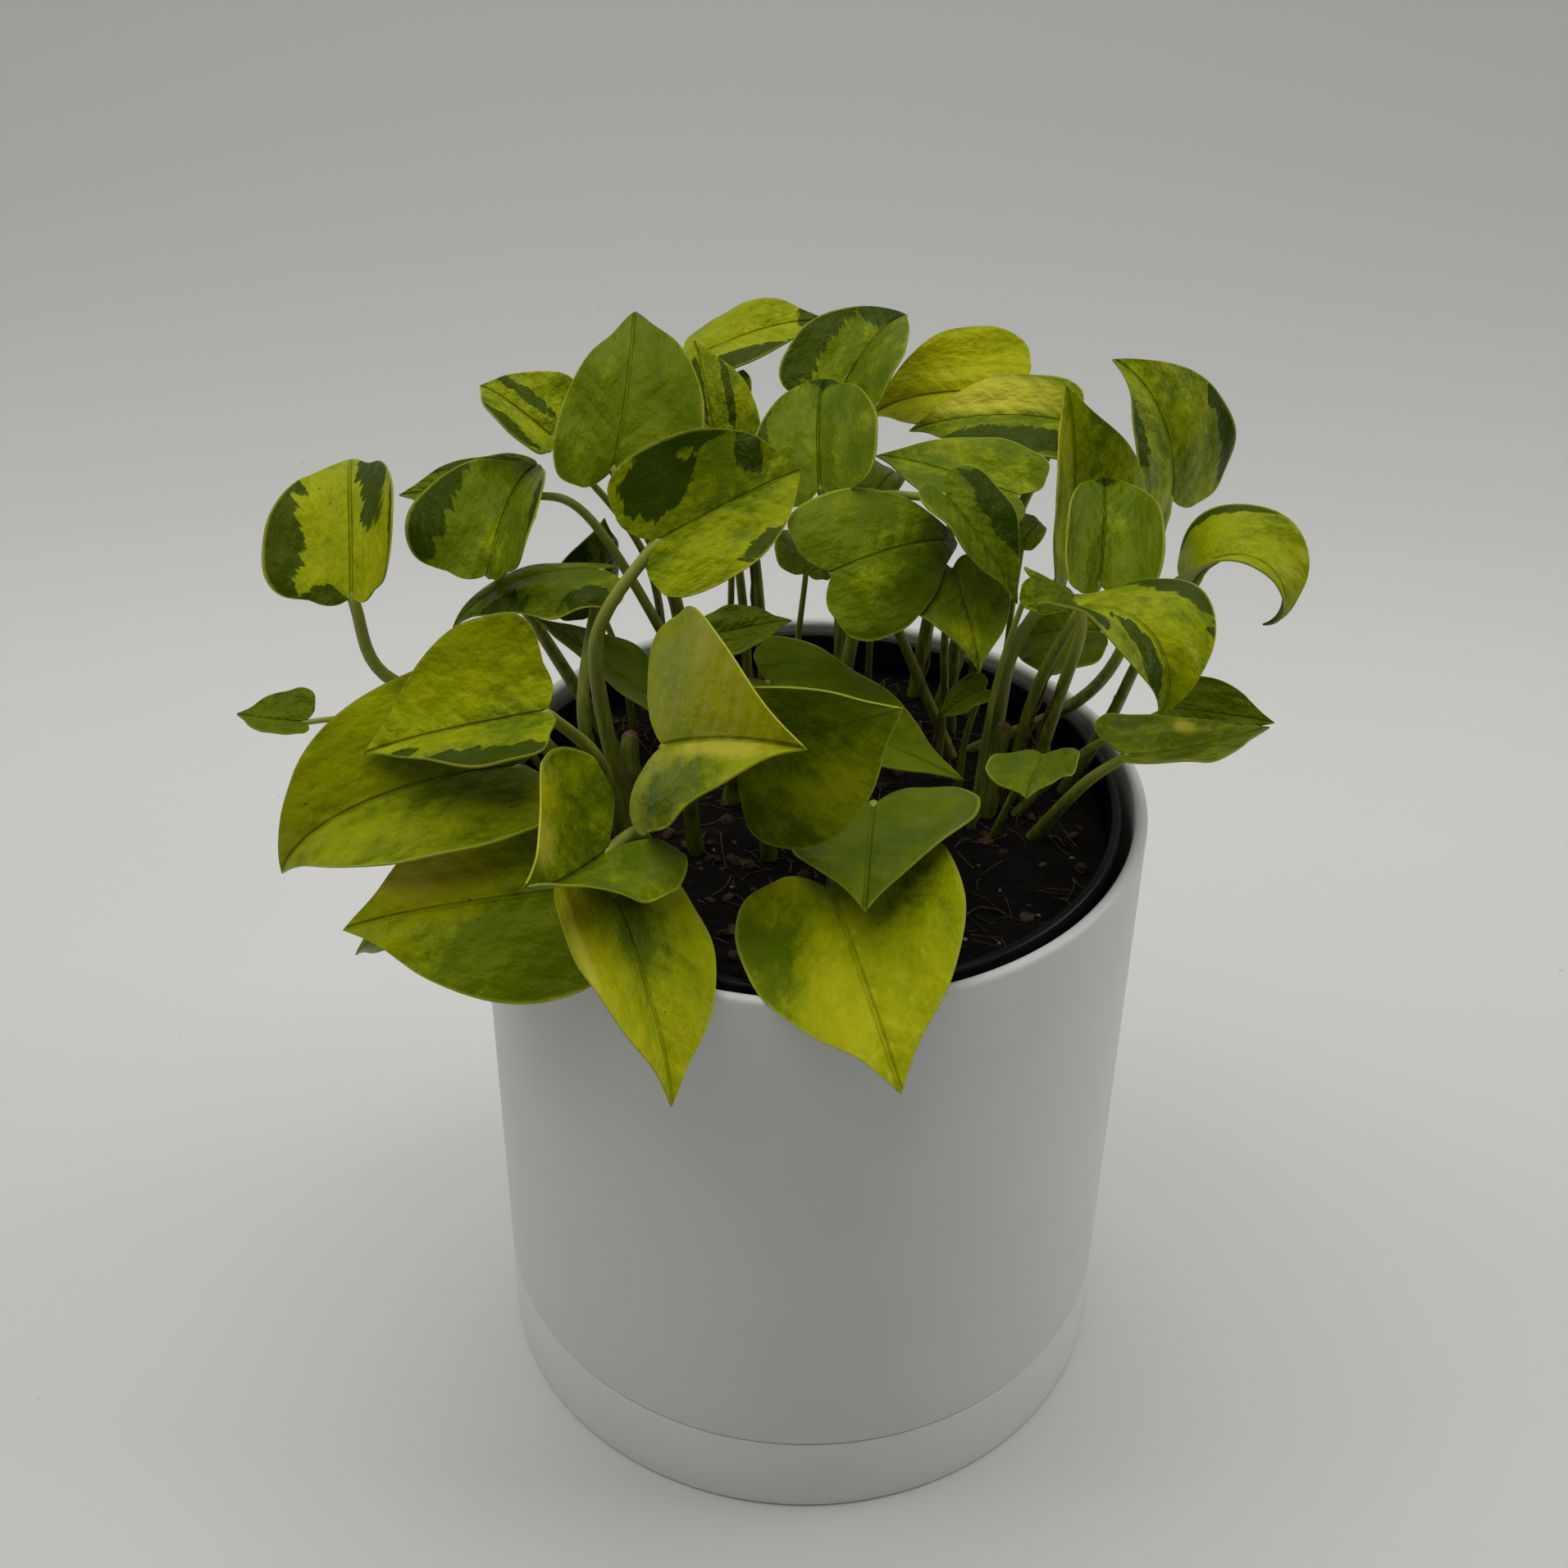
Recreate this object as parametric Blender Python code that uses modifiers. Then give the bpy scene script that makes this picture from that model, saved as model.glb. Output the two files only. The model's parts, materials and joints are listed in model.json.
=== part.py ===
"""Potted pothos: a straight round planter on a flush saucer, a nursery pot inside it, soil, vines and leaves.

Run with blender --background --python part.py, or from Blender's text editor.
Sizes are in millimetres, and MM turns them into Blender's metres. +Z is up, the origin is the
middle of the saucer's underside, -Y is the front and +X is the right side.
"""

import math

import bmesh
import bpy
import numpy as np
from mathutils import Vector

MM = 0.001

# Outer planter: a straight tube with a rounded lip, which plugs into the saucer.
planter_diameter = 165.0
planter_height = 173.0
planter_wall = 3.2
planter_floor = 3.2
planter_lip = 1.5
planter_drain = 16.0

# Saucer: flush with the planter outside.
saucer_height = 25.0
saucer_wall = 3.2
saucer_floor = 3.0
plug_wall = 3.0

# Nursery pot, dropped into the planter.
pot_side_room = 3.1
pot_drop = 1.0
pot_wall = 1.2
pot_floor = 1.5
pot_lip_width = 2.5
pot_collar_height = 13.0
pot_step = 3.4
pot_base_diameter = 110.0
pot_centre_hole = 12.0
pot_ring_hole = 8.0
pot_ring_holes = 6
pot_ring_radius = 36.0

# Soil in the nursery pot.
soil_drop = 10.0
soil_mound = 1.2

# Plant. Its places are laid out for a pot mouth of this radius, and follow the real one.
laid_out_mouth = 73.7
blade_thickness = 0.8
stalk_per_length = 0.042
thinnest_stalk = 0.9
thickest_stalk = 1.9

# Small room between pieces that rest on or in each other.
gap = 0.3

planter_radius = planter_diameter / 2
planter_bore = planter_radius - planter_wall
planter_under = saucer_floor + gap
planter_seam = saucer_height + gap
planter_floor_top = planter_under + planter_floor
saucer_bore = planter_radius - saucer_wall
plug_radius = saucer_bore - gap
pot_rim_radius = planter_bore - pot_side_room
pot_mouth_radius = pot_rim_radius - pot_lip_width
pot_top = planter_height - pot_drop
pot_under = planter_floor_top + gap
pot_shoulder = pot_top - pot_collar_height
pot_body_radius = pot_rim_radius - pot_step
pot_base_radius = pot_base_diameter / 2
soil_top = pot_top - soil_drop
plant_scale = pot_mouth_radius / laid_out_mouth

# The flat leaf, 1 long with a half width of 1, from the notch at the stalk to the tip:
# where the midrib is, how far out the margin is, and how far along the margin is.
LEAF_OUTLINE = [
    (0.00, 0.42, -0.13),
    (0.07, 0.78, -0.10),
    (0.17, 0.96, 0.02),
    (0.31, 1.00, 0.21),
    (0.47, 0.91, 0.42),
    (0.65, 0.66, 0.64),
    (0.83, 0.30, 0.84),
    (1.00, 0.00, 1.00),
]
USUAL_LOBE = 0.13

# Leaves, from the back of the plant to the front. Places are millimetres from the centre of the
# planter's rim, and angles are degrees.
#   joint   where the blade meets its stalk
#   aim     heading (0 is to the back, 90 to the right), rise of the midrib, roll to the left
#   size    length, then half widths left and right of the midrib
#   droop   downward bend of the midrib, spread along it and gathered at the tip
#   fold    how far each half is folded up at the midrib; tip_fold adds to it toward the tip
#   curl    how far each half curls up on its way to the margin
#   twist, sway and lobe: turn about the midrib, sideways bend, and how far the lobes reach back
#   foot    where the stalk leaves the soil, and via, points on its way to the joint
LEAVES = [
    dict(
        joint=(-30, 81, 78), aim=(95, 30, -25), size=(35, 13, 13), droop=(25, 20),
        fold=(5, 15), curl=(-40, 0), twist=-15,
        foot=(-12, 62), via=[(-17, 68, 38)],
    ),
    dict(
        joint=(6, 61, 76), aim=(35, 45, 0), size=(34, 18, 14), droop=(40, 25),
        fold=(20, 15),
        foot=(8, 58), via=[(7, 59, 37)],
    ),
    dict(
        joint=(50, 75, 71), aim=(-90, 5, 30), size=(39, 15, 18), droop=(40, 25),
        fold=(15, 15), curl=(5, -10), twist=10,
        foot=(28, 58), via=[(35, 63, 34)],
    ),
    dict(
        joint=(62, 59, 71), aim=(-90, 10, 25), size=(40, 15, 13), droop=(40, 5),
        fold=(10, 10), curl=(-5, -10),
        foot=(42, 50), via=[(48, 53, 34)],
    ),
    dict(
        joint=(-19, 66, 74), aim=(0, 50, 10), size=(8, 4, 3), droop=(40, 20),
        fold=(5, 10),
        foot=(-22, 60), via=[(-21, 62, 36)],
    ),
    dict(
        joint=(-25, 52, 66), aim=(-15, 55, 0), size=(30, 14, 12), droop=(25, 15),
        fold=(10, 10), curl=(-10, -5),
        foot=(-16, 50), via=[(-19, 51, 31)],
    ),
    dict(
        joint=(-49, 35, 68), aim=(20, 55, -15), size=(46, 16, 21), droop=(35, 20),
        fold=(10, 15), tip_fold=-5, curl=(-30, 0), sway=-15,
        foot=(-30, 44), via=[(-36, 41, 32)],
    ),
    dict(
        joint=(-65, 48, 70), aim=(-55, 25, 25), size=(27, 11, 14), droop=(20, 20),
        fold=(20, 10), curl=(30, 5),
        foot=(-38, 42), via=[(-42, 47, 35)],
    ),
    dict(
        joint=(-73, 46, 56), aim=(-95, 5, 30), size=(31, 11, 11), droop=(15, 5),
        fold=(10, 5), tip_fold=-5, curl=(-15, -5),
        foot=(-23, 38), via=[(-54, 39, 50)],
    ),
    dict(
        joint=(-78, 15, 50), aim=(10, 40, 10), size=(40, 21, 16), droop=(40, 20),
        fold=(20, 25), curl=(20, 20), twist=-10, lobe=0.05,
        foot=(-48, 26), via=[(-77, 43, 30)],
    ),
    dict(
        joint=(-109, 5, 49), aim=(-5, 40, 5), size=(46, 21, 19), droop=(30, 25),
        fold=(10, 35), tip_fold=-5, curl=(20, 35), twist=-15, sway=-10, lobe=0.05,
        foot=(-52, 4), via=[(-72, 8, 12), (-103, 6, 26)],
    ),
    dict(
        joint=(-55, 42, 27), aim=(-40, 90, -5), size=(24, 13, 10), droop=(-10, 5),
        fold=(5, -5), curl=(-45, -35), twist=10, sway=10,
        foot=(-46, 36), via=[(-49, 38, 10)],
    ),
    dict(
        joint=(-52, 25, 46), aim=(-100, 10, 0), size=(41, 15, 13), droop=(50, 15),
        fold=(0, 0), curl=(-35, -55), sway=-10,
        foot=(-50, 8), via=[(-56, 5, 17)],
    ),
    dict(
        joint=(-41, 22, 11), aim=(-75, 35, -5), size=(35, 12, 12), droop=(5, 5),
        fold=(15, 5),
        foot=(-34, 26), via=[(-36, 25, 1)],
    ),
    dict(
        joint=(1, 27, 68), aim=(-5, 35, 25), size=(38, 16, 18), droop=(25, 25),
        fold=(20, 20), twist=-15,
        foot=(7, 44), via=[(9, 36, 33)],
    ),
    dict(
        joint=(14, 45, 56), aim=(30, 20, -15), size=(18, 10, 7), droop=(40, 25),
        fold=(10, 20), tip_fold=15, curl=(-5, 25),
        foot=(15, 44), via=[(15, 44, 26)],
    ),
    dict(
        joint=(-2, 25, 46), aim=(-5, 20, -20), size=(17, 9, 7), droop=(20, 10),
        fold=(15, 10), curl=(-5, -15),
        foot=(-5, 30), via=[(-4, 28, 20)],
    ),
    dict(
        joint=(48, 30, 65), aim=(-65, 10, 25), size=(38, 15, 15), droop=(15, 10),
        fold=(15, 5), curl=(0, -20), twist=-10,
        foot=(37, 43), via=[(37, 32, 28)],
    ),
    dict(
        joint=(51, 32, 51), aim=(35, 20, -25), size=(12, 6, 4), droop=(35, 20),
        fold=(15, 20), curl=(5, 15),
        foot=(50, 38), via=[(50, 36, 23)],
    ),
    dict(
        joint=(61, 18, 52), aim=(-15, 85, -25), size=(45, 17, 22), droop=(5, 20),
        fold=(20, 15), curl=(25, -20), twist=15,
        foot=(43, 12), via=[(46, 12, 12), (49, 14, 32)],
    ),
    dict(
        joint=(89, 47, 56), aim=(-30, 90, -25), size=(41, 17, 23), droop=(45, 30),
        fold=(5, 15), curl=(-10, -5), sway=-15,
        foot=(39, 34), via=[(75, 34, 11)],
    ),
    dict(
        joint=(63, -14, 66), aim=(10, 35, -10), size=(36, 12, 15), droop=(35, 15),
        fold=(30, 25), tip_fold=-5, curl=(20, 20), twist=10,
        foot=(49, 9), via=[(53, 2, 25), (58, -8, 50)],
    ),
    dict(
        joint=(87, 0, 59), aim=(85, 70, 30), size=(37, 18, 16), droop=(180, 45),
        fold=(25, 10),
        foot=(64, 16), via=[(74, 14, 11), (79, 8, 34)],
    ),
    dict(
        joint=(56, -35, 72), aim=(120, 25, 20), size=(37, 20, 15), droop=(105, 40),
        fold=(15, 5), curl=(-15, 5), twist=-25, sway=15,
        foot=(54, 10), via=[(58, -4, 28), (58, -26, 59)],
    ),
    dict(
        joint=(49, -5, 62), aim=(95, -20, -20), size=(14, 6, 8), droop=(15, 10),
        fold=(-10, 0), tip_fold=-5, curl=(-45, -25),
        foot=(40, -1), via=[(43, -2, 29)],
    ),
    dict(
        joint=(69, 14, 37), aim=(-70, -10, 20), size=(27, 14, 12), droop=(25, 20),
        fold=(15, 10), tip_fold=-10, curl=(-15, -20), twist=15,
        foot=(54, 30), via=[(58, 25, 15)],
    ),
    dict(
        joint=(30, 18, 71), aim=(130, -30, 0), size=(31, 13, 10), droop=(25, 0),
        fold=(10, 10),
        foot=(38, 31), via=[(12, 39, 52)],
    ),
    dict(
        joint=(33, 18, 51), aim=(160, -25, 5), size=(28, 12, 14), droop=(10, 5),
        fold=(10, 10), curl=(-15, -20), sway=10,
        foot=(33, 28), via=[(34, 30, 7), (33, 27, 26)],
    ),
    dict(
        joint=(41, 4, 26), aim=(-95, -25, 20), size=(14, 5, 5), droop=(30, 25),
        fold=(5, 10), curl=(15, 0),
        foot=(37, 10), via=[(38, 8, 9)],
    ),
    dict(
        joint=(86, 0, 24), aim=(100, 0, -35), size=(25, 9, 8), droop=(10, 5),
        fold=(10, 10), curl=(-10, -5),
        foot=(50, 4), via=[(66, 2, 9)],
    ),
    dict(
        joint=(72, -25, 27), aim=(70, -10, -5), size=(37, 14, 13), droop=(-25, 10),
        fold=(10, 20), tip_fold=-10, curl=(-15, 20),
        foot=(54, -4), via=[(64, -16, 12)],
    ),
    dict(
        joint=(52, -30, 30), aim=(200, 5, -15), size=(22, 9, 12), droop=(-5, 5),
        fold=(5, 5), curl=(-15, -10), sway=-10,
        foot=(44, -6), via=[(49, -14, 10)],
    ),
    dict(
        joint=(-36, -5, 70), aim=(65, 20, -50), size=(46, 20, 16), droop=(40, 20),
        fold=(15, 15), twist=-10,
        foot=(-43, -7), via=[(-49, -6, 17), (-51, -7, 41), (-47, -8, 55)],
    ),
    dict(
        joint=(4, 0, 60), aim=(60, 10, -40), size=(41, 19, 19), droop=(30, 25),
        fold=(5, 5), tip_fold=-5, curl=(-25, -30), twist=-10, sway=10,
        foot=(1, 8), via=[(10, 15, 40)],
    ),
    dict(
        joint=(-24, -2, 44), aim=(90, 15, -20), size=(19, 7, 8), droop=(5, 5),
        fold=(10, 5), curl=(-15, -5),
        foot=(-20, 14), via=[(-21, 9, 19)],
    ),
    dict(
        joint=(-11, -2, 31), aim=(110, -20, -5), size=(52, 18, 18), droop=(-5, 0),
        fold=(10, 20), tip_fold=-5, curl=(-10, -5),
        foot=(-8, 20), via=[(-9, 13, 12)],
    ),
    dict(
        joint=(-15, -36, 36), aim=(115, 25, -80), size=(45, 19, 25), droop=(-15, 5),
        fold=(15, 5), curl=(35, 0), sway=-10,
        foot=(-10, -14), via=[(-12, -21, 15)],
    ),
    dict(
        joint=(-34, -34, 34), aim=(145, 35, -25), size=(57, 30, 22), droop=(15, 5),
        fold=(50, -10), tip_fold=25, curl=(-15, -40),
        foot=(-28, -12), via=[(-30, -19, 14)],
    ),
    dict(
        joint=(14, -29, 15), aim=(185, 10, -10), size=(45, 25, 19), droop=(10, 0),
        fold=(5, 5), tip_fold=15, curl=(-10, -30),
        foot=(15, -14), via=[(15, -18, 3)],
    ),
    dict(
        joint=(4, -55, 10), aim=(165, -10, -10), size=(54, 28, 24), droop=(5, 15),
        fold=(10, 5), curl=(10, -25),
        foot=(5, -34), via=[(5, -40, 1)],
    ),
    dict(
        joint=(-43, -69, 19), aim=(155, -25, 20), size=(48, 20, 16), droop=(15, 15),
        fold=(5, 10), curl=(-10, -15),
        foot=(-34, -40), via=[(-37, -49, 5)],
    ),
    dict(
        joint=(-45, -59, 23), aim=(-155, 10, 20), size=(45, 19, 25), droop=(-30, -10),
        fold=(35, 40), tip_fold=25, curl=(-60, -10), lobe=0.25,
        foot=(-38, -20), via=[(-40, -32, 8)],
    ),
    dict(
        joint=(-53, -56, 10), aim=(-95, -5, 25), size=(54, 25, 22), droop=(10, 15),
        fold=(5, 15), curl=(-25, 0), twist=10,
        foot=(-44, -30), via=[(-47, -38, 1)],
    ),
    dict(
        joint=(-67, -33, 27), aim=(-100, 0, 20), size=(67, 24, 26), droop=(40, 35),
        fold=(15, 20), curl=(0, 15), twist=15, sway=-10,
        foot=(-52, -20), via=[(-56, -24, 10)],
    ),
    dict(
        joint=(-60, -33, 42), aim=(-95, -10, 25), size=(43, 19, 24), droop=(5, 15),
        fold=(25, 15), curl=(0, 25), twist=-10, lobe=0.05,
        foot=(-45, -12), via=[(-50, -18, 18)],
    ),
    dict(
        joint=(-81, -49, -3), aim=(-85, -15, 5), size=(30, 13, 14), droop=(25, 15),
        fold=(15, 10), curl=(-5, -10),
        foot=(-57, -15), via=[(-79, -18, 11), (-81, -26, 15)],
    ),
    dict(
        joint=(-122, -5, 20), aim=(-85, 0, 25), size=(17, 7, 9), droop=(5, 0),
        fold=(20, 5), tip_fold=-10, curl=(30, 5), sway=10,
        foot=(-62, 10), via=[(-82, 13, 12)],
    ),
]

# Old vine stems that stand in the soil: foot, head and radius.
VINES = [
    ((-46, 2, 0), (-44, 5, 22), 2.8),
    ((-34, 36, 0), (-29, 29, 28), 2.8),
    ((10, 50, 0), (8, 51, 30), 2.6),
    ((44, 5, 0), (46, 4, 26), 2.8),
    ((35, 48, 0), (39, 51, 28), 2.6),
    ((-20, 8, 0), (-20, 6, 14), 2.4),
    ((57, 22, 0), (60, 20, 16), 2.4),
]


def new_collection(name):
    found = bpy.data.collections.new(name)
    bpy.context.scene.collection.children.link(found)
    return found


def put_in(obj, collection):
    for old in list(obj.users_collection):
        old.objects.unlink(obj)
    collection.objects.link(obj)


def only_select(obj):
    for other in bpy.context.view_layer.objects:
        other.select_set(False)
    obj.select_set(True)
    bpy.context.view_layer.objects.active = obj


def smooth(obj, angle=40):
    obj.data.shade_smooth()
    obj.data.set_sharp_from_angle(angle=math.radians(angle))


def new_material(name, colour, roughness, metallic=0.0):
    material = bpy.data.materials.new(name)
    material.use_nodes = True
    shader = material.node_tree.nodes["Principled BSDF"]
    shader.inputs["Base Color"].default_value = (*colour, 1)
    shader.inputs["Roughness"].default_value = roughness
    shader.inputs["Metallic"].default_value = metallic
    return material


def apply_modifier(obj, modifier):
    only_select(obj)
    bpy.ops.object.modifier_apply(modifier=modifier.name)


def arc(centre_r, centre_z, radius, start, end, count):
    """Points of a rounded corner, in degrees anticlockwise from +r."""
    angles = [math.radians(start + (end - start) * i / count) for i in range(count + 1)]
    return [(centre_r + radius * math.cos(a), centre_z + radius * math.sin(a)) for a in angles]


def turned(name, profile, steps, material, ring=False):
    """A turned piece. The profile is (radius, height) and runs down its outer side."""
    mesh = bpy.data.meshes.new(name)
    points = [(r * MM, 0, z * MM) for r, z in profile]
    edges = [(i, i + 1) for i in range(len(points) - 1)]
    if ring:
        edges.append((len(points) - 1, 0))
    mesh.from_pydata(points, edges, [])
    obj = bpy.data.objects.new(name, mesh)
    PART.objects.link(obj)
    screw = obj.modifiers.new("Turn", "SCREW")
    screw.axis = "Z"
    screw.steps = steps
    screw.render_steps = steps
    screw.use_merge_vertices = True
    screw.merge_threshold = 0.00001
    apply_modifier(obj, screw)
    smooth(obj)
    obj.data.materials.append(material)
    return obj


def through_cutter(name, places, radius, bottom, top):
    """One cutter of upright round pins at the places, from bottom to top."""
    mesh = bpy.data.meshes.new(name)
    bm = bmesh.new()
    for x, y in places:
        made = bmesh.ops.create_cone(
            bm, cap_ends=True, segments=16, radius1=radius * MM, radius2=radius * MM, depth=(top - bottom) * MM
        )
        bmesh.ops.translate(bm, verts=made["verts"], vec=(x * MM, y * MM, (top + bottom) / 2 * MM))
    bm.to_mesh(mesh)
    bm.free()
    obj = bpy.data.objects.new(name, mesh)
    CUTTERS.objects.link(obj)
    obj.hide_render = True
    obj.display_type = "WIRE"
    return obj


def cut(obj, cutter):
    boolean = obj.modifiers.new("Cut " + cutter.name, "BOOLEAN")
    boolean.operation = "DIFFERENCE"
    boolean.object = cutter
    boolean.solver = "EXACT"


def smooth_rows(rows, t):
    """The smooth curve through the rows (Catmull-Rom), at t from 0 to 1."""
    rows = np.asarray(rows, float)
    padded = np.vstack([2 * rows[0] - rows[1], rows, 2 * rows[-1] - rows[-2]])
    at = np.clip(np.asarray(t, float), 0, 1) * (len(rows) - 1)
    i = np.minimum(at.astype(int), len(rows) - 2)
    w = (at - i)[:, None]
    a, b, c, d = padded[i], padded[i + 1], padded[i + 2], padded[i + 3]
    return 0.5 * (2 * b + (c - a) * w + (2 * a - 5 * b + 4 * c - d) * w**2 + (3 * b - a - 3 * c + d) * w**3)


def running_sum(values, step, start):
    """The integral of the values along the midrib, counted from the joint."""
    total = np.concatenate([[0], np.cumsum((values[1:] + values[:-1]) / 2) * step])
    return total - np.interp(0, start, total)


def leaf_axes(heading, rise, roll):
    """Unit vectors to the leaf's right side, along its midrib, and out of its upper face."""
    heading, rise, roll = np.radians([heading, rise, roll])
    ahead = np.array([np.sin(heading) * np.cos(rise), np.cos(heading) * np.cos(rise), np.sin(rise)])
    side = np.array([np.cos(heading), -np.sin(heading), 0])
    out = np.cross(side, ahead)
    return side * np.cos(roll) + out * np.sin(roll), ahead, out * np.cos(roll) - side * np.sin(roll)


def blade_surface(leaf, u, t):
    """Places of the leaf's middle surface: u runs from -1 to 1 across, t from 0 to 1 along."""
    length, left, right = leaf["size"]
    rows = smooth_rows(LEAF_OUTLINE, t)
    across = np.abs(u)
    out = np.maximum(rows[:, 1], 0)
    back = (1 - t) * (1 - (1 - across) ** 2) + t * across**1.3
    flat_x = u * out
    flat_y = rows[:, 0] + (rows[:, 2] - rows[:, 0]) * back
    reach = np.clip(1 - flat_y / 0.45, 0, 1.5) ** 2 * np.minimum(np.abs(flat_x) * 2.2, 1)
    flat_y = flat_y - (leaf.get("lobe", USUAL_LOBE) - USUAL_LOBE) * 0.75 * reach
    half = np.where(flat_x < 0, left, right)
    # The midrib bends down and sways; it is followed in small steps from behind the joint.
    along = np.linspace(-0.25, 1.05, 80)
    step = (along[1] - along[0]) * length
    inside = np.clip(along, 0, 1)
    spread, gathered = leaf["droop"]
    dip = np.radians(spread * inside + gathered * inside**4)
    sway = np.radians(leaf.get("sway", 0) * inside)
    rib = [
        running_sum(np.cos(dip) * np.sin(sway), step, along),
        running_sum(np.cos(dip) * np.cos(sway), step, along),
        running_sum(-np.sin(dip), step, along),
    ]
    place = np.stack([np.interp(flat_y, along, values) for values in rib], -1)
    dip = np.interp(flat_y, along, dip)
    sway = np.interp(flat_y, along, sway)
    # Each half leaves the midrib at its fold angle and curls evenly to the margin.
    is_left = flat_x < 0
    fold = np.where(is_left, leaf["fold"][0], leaf["fold"][1])
    fold = np.radians(fold + leaf.get("tip_fold", 5) * np.clip(flat_y, 0, 1))
    curls = leaf.get("curl", (0, 0))
    bend = np.radians(np.where(is_left, curls[0], curls[1])) / half
    bend = np.where(np.abs(bend) < 1e-9, 1e-9, bend)
    reach = np.abs(flat_x) * half
    sideways = np.sign(flat_x) * (np.sin(fold + bend * reach) - np.sin(fold)) / bend
    upward = (np.cos(fold) - np.cos(fold + bend * reach)) / bend
    twist = np.radians(leaf.get("twist", 0)) * np.clip(flat_y, 0, 1)
    turned_x = sideways * np.cos(twist) - upward * np.sin(twist)
    turned_z = sideways * np.sin(twist) + upward * np.cos(twist)
    rib_way = np.stack([np.cos(dip) * np.sin(sway), np.cos(dip) * np.cos(sway), -np.sin(dip)], -1)
    side_way = np.stack([np.cos(sway), -np.sin(sway), 0 * sway], -1)
    local = place + turned_x[:, None] * side_way + turned_z[:, None] * np.cross(side_way, rib_way)
    return local @ np.stack(leaf_axes(*leaf["aim"])) + np.array(leaf["joint"], float)


def in_place(point):
    """A plant place, from the centre of the rim as laid out, in this planter."""
    return np.asarray(point, float) * plant_scale + np.array([0, 0, planter_height])


def tube(name, points, radii):
    """A round tapering tube through the points, as a mesh with closed ends."""
    curve = bpy.data.curves.new(name, "CURVE")
    curve.dimensions = "3D"
    curve.bevel_depth = MM
    curve.bevel_resolution = 1
    curve.use_fill_caps = True
    spline = curve.splines.new("POLY")
    spline.points.add(len(points) - 1)
    for spot, place, radius in zip(spline.points, points, radii):
        spot.co = (*(Vector(place) * MM), 1)
        spot.radius = radius
    guide = bpy.data.objects.new(name, curve)
    PART.objects.link(guide)
    graph = bpy.context.evaluated_depsgraph_get()
    mesh = bpy.data.meshes.new_from_object(guide.evaluated_get(graph))
    bm = bmesh.new()
    bm.from_mesh(mesh)
    bmesh.ops.remove_doubles(bm, verts=bm.verts, dist=0.000005)
    bmesh.ops.recalc_face_normals(bm, faces=bm.faces)
    bm.to_mesh(mesh)
    bm.free()
    obj = bpy.data.objects.new(name, mesh)
    obj.matrix_world = guide.matrix_world
    PART.objects.link(obj)
    bpy.data.objects.remove(guide)
    obj.name = name
    return obj


def spread_points(points, count):
    """Evenly numbered points on the smooth curve through the given ones."""
    steps = np.linspace(0, 1, 60)
    fine = smooth_rows(points, steps)
    run = np.concatenate([[0], np.cumsum(np.linalg.norm(np.diff(fine, axis=0), axis=1))])
    at = np.linspace(0, run[-1], count)
    return np.stack([np.interp(at, run, fine[:, k]) for k in range(3)], -1)


def stalk_radius(leaf):
    return min(max(stalk_per_length * leaf["size"][0], thinnest_stalk), thickest_stalk) * plant_scale


def add_stalk(leaf, name):
    radius = stalk_radius(leaf)
    joint = in_place(leaf["joint"])
    foot = np.array([*(np.array(leaf["foot"], float) * plant_scale), soil_level(leaf["foot"]) + gap])
    points = spread_points([foot, *[in_place(p) for p in leaf["via"]], joint], STALK_POINTS)
    # A leaning stalk is lifted so that its square end stays clear of the soil.
    first = points[1] - points[0]
    points[0][2] += radius * 1.12 * math.hypot(first[0], first[1]) / np.linalg.norm(first)
    # The stalk runs on under the midrib, where the two grow together.
    rib = in_place(blade_surface(leaf, np.array([0.0]), np.array([0.12]))[0])
    below = np.array(leaf_axes(*leaf["aim"])[2]) * radius * 0.55
    points = [*points[:-1], joint - below * 0.6, rib - below]
    radii = [radius * 1.12, *[radius] * (len(points) - 3), radius * 0.95, radius * 0.6]
    return tube(name, points, radii)


def add_leaf(leaf, name):
    bpy.ops.mesh.primitive_grid_add(x_subdivisions=BLADE_COLUMNS, y_subdivisions=BLADE_ROWS, size=2)
    obj = bpy.context.active_object
    obj.name = name
    obj.data.name = name
    flat = np.empty(len(obj.data.vertices) * 3)
    obj.data.vertices.foreach_get("co", flat)
    flat = flat.reshape(-1, 3)
    places = in_place(blade_surface(leaf, flat[:, 0], (flat[:, 1] + 1) / 2)) * MM
    obj.data.vertices.foreach_set("co", places.ravel())
    bm = bmesh.new()
    bm.from_mesh(obj.data)
    bmesh.ops.remove_doubles(bm, verts=bm.verts, dist=0.00001)
    bm.to_mesh(obj.data)
    bm.free()
    put_in(obj, PART)
    solid = obj.modifiers.new("Blade thickness", "SOLIDIFY")
    solid.thickness = blade_thickness * plant_scale * MM
    solid.offset = 0
    apply_modifier(obj, solid)
    stalk = add_stalk(leaf, name + "_stalk")
    join = obj.modifiers.new("Grow together", "BOOLEAN")
    join.operation = "UNION"
    join.object = stalk
    join.solver = "EXACT"
    apply_modifier(obj, join)
    bpy.data.objects.remove(stalk)
    smooth(obj, 50)
    obj.data.materials.append(LEAF_GREEN)
    return obj


def soil_level(spot):
    """Height of the soil at a plant spot: a low mound, flat at the pot's wall."""
    away = math.hypot(spot[0], spot[1]) * plant_scale / soil_radius
    return soil_top + soil_mound * max(0.0, 1 - away**2)


for obj in list(bpy.data.objects):
    bpy.data.objects.remove(obj)

PART = new_collection("potted_pothos")
CUTTERS = new_collection("cutters")
STALK_POINTS = 5
BLADE_COLUMNS = 4
BLADE_ROWS = 6
PLANTER_STEPS = 48
POT_STEPS = 44

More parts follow.
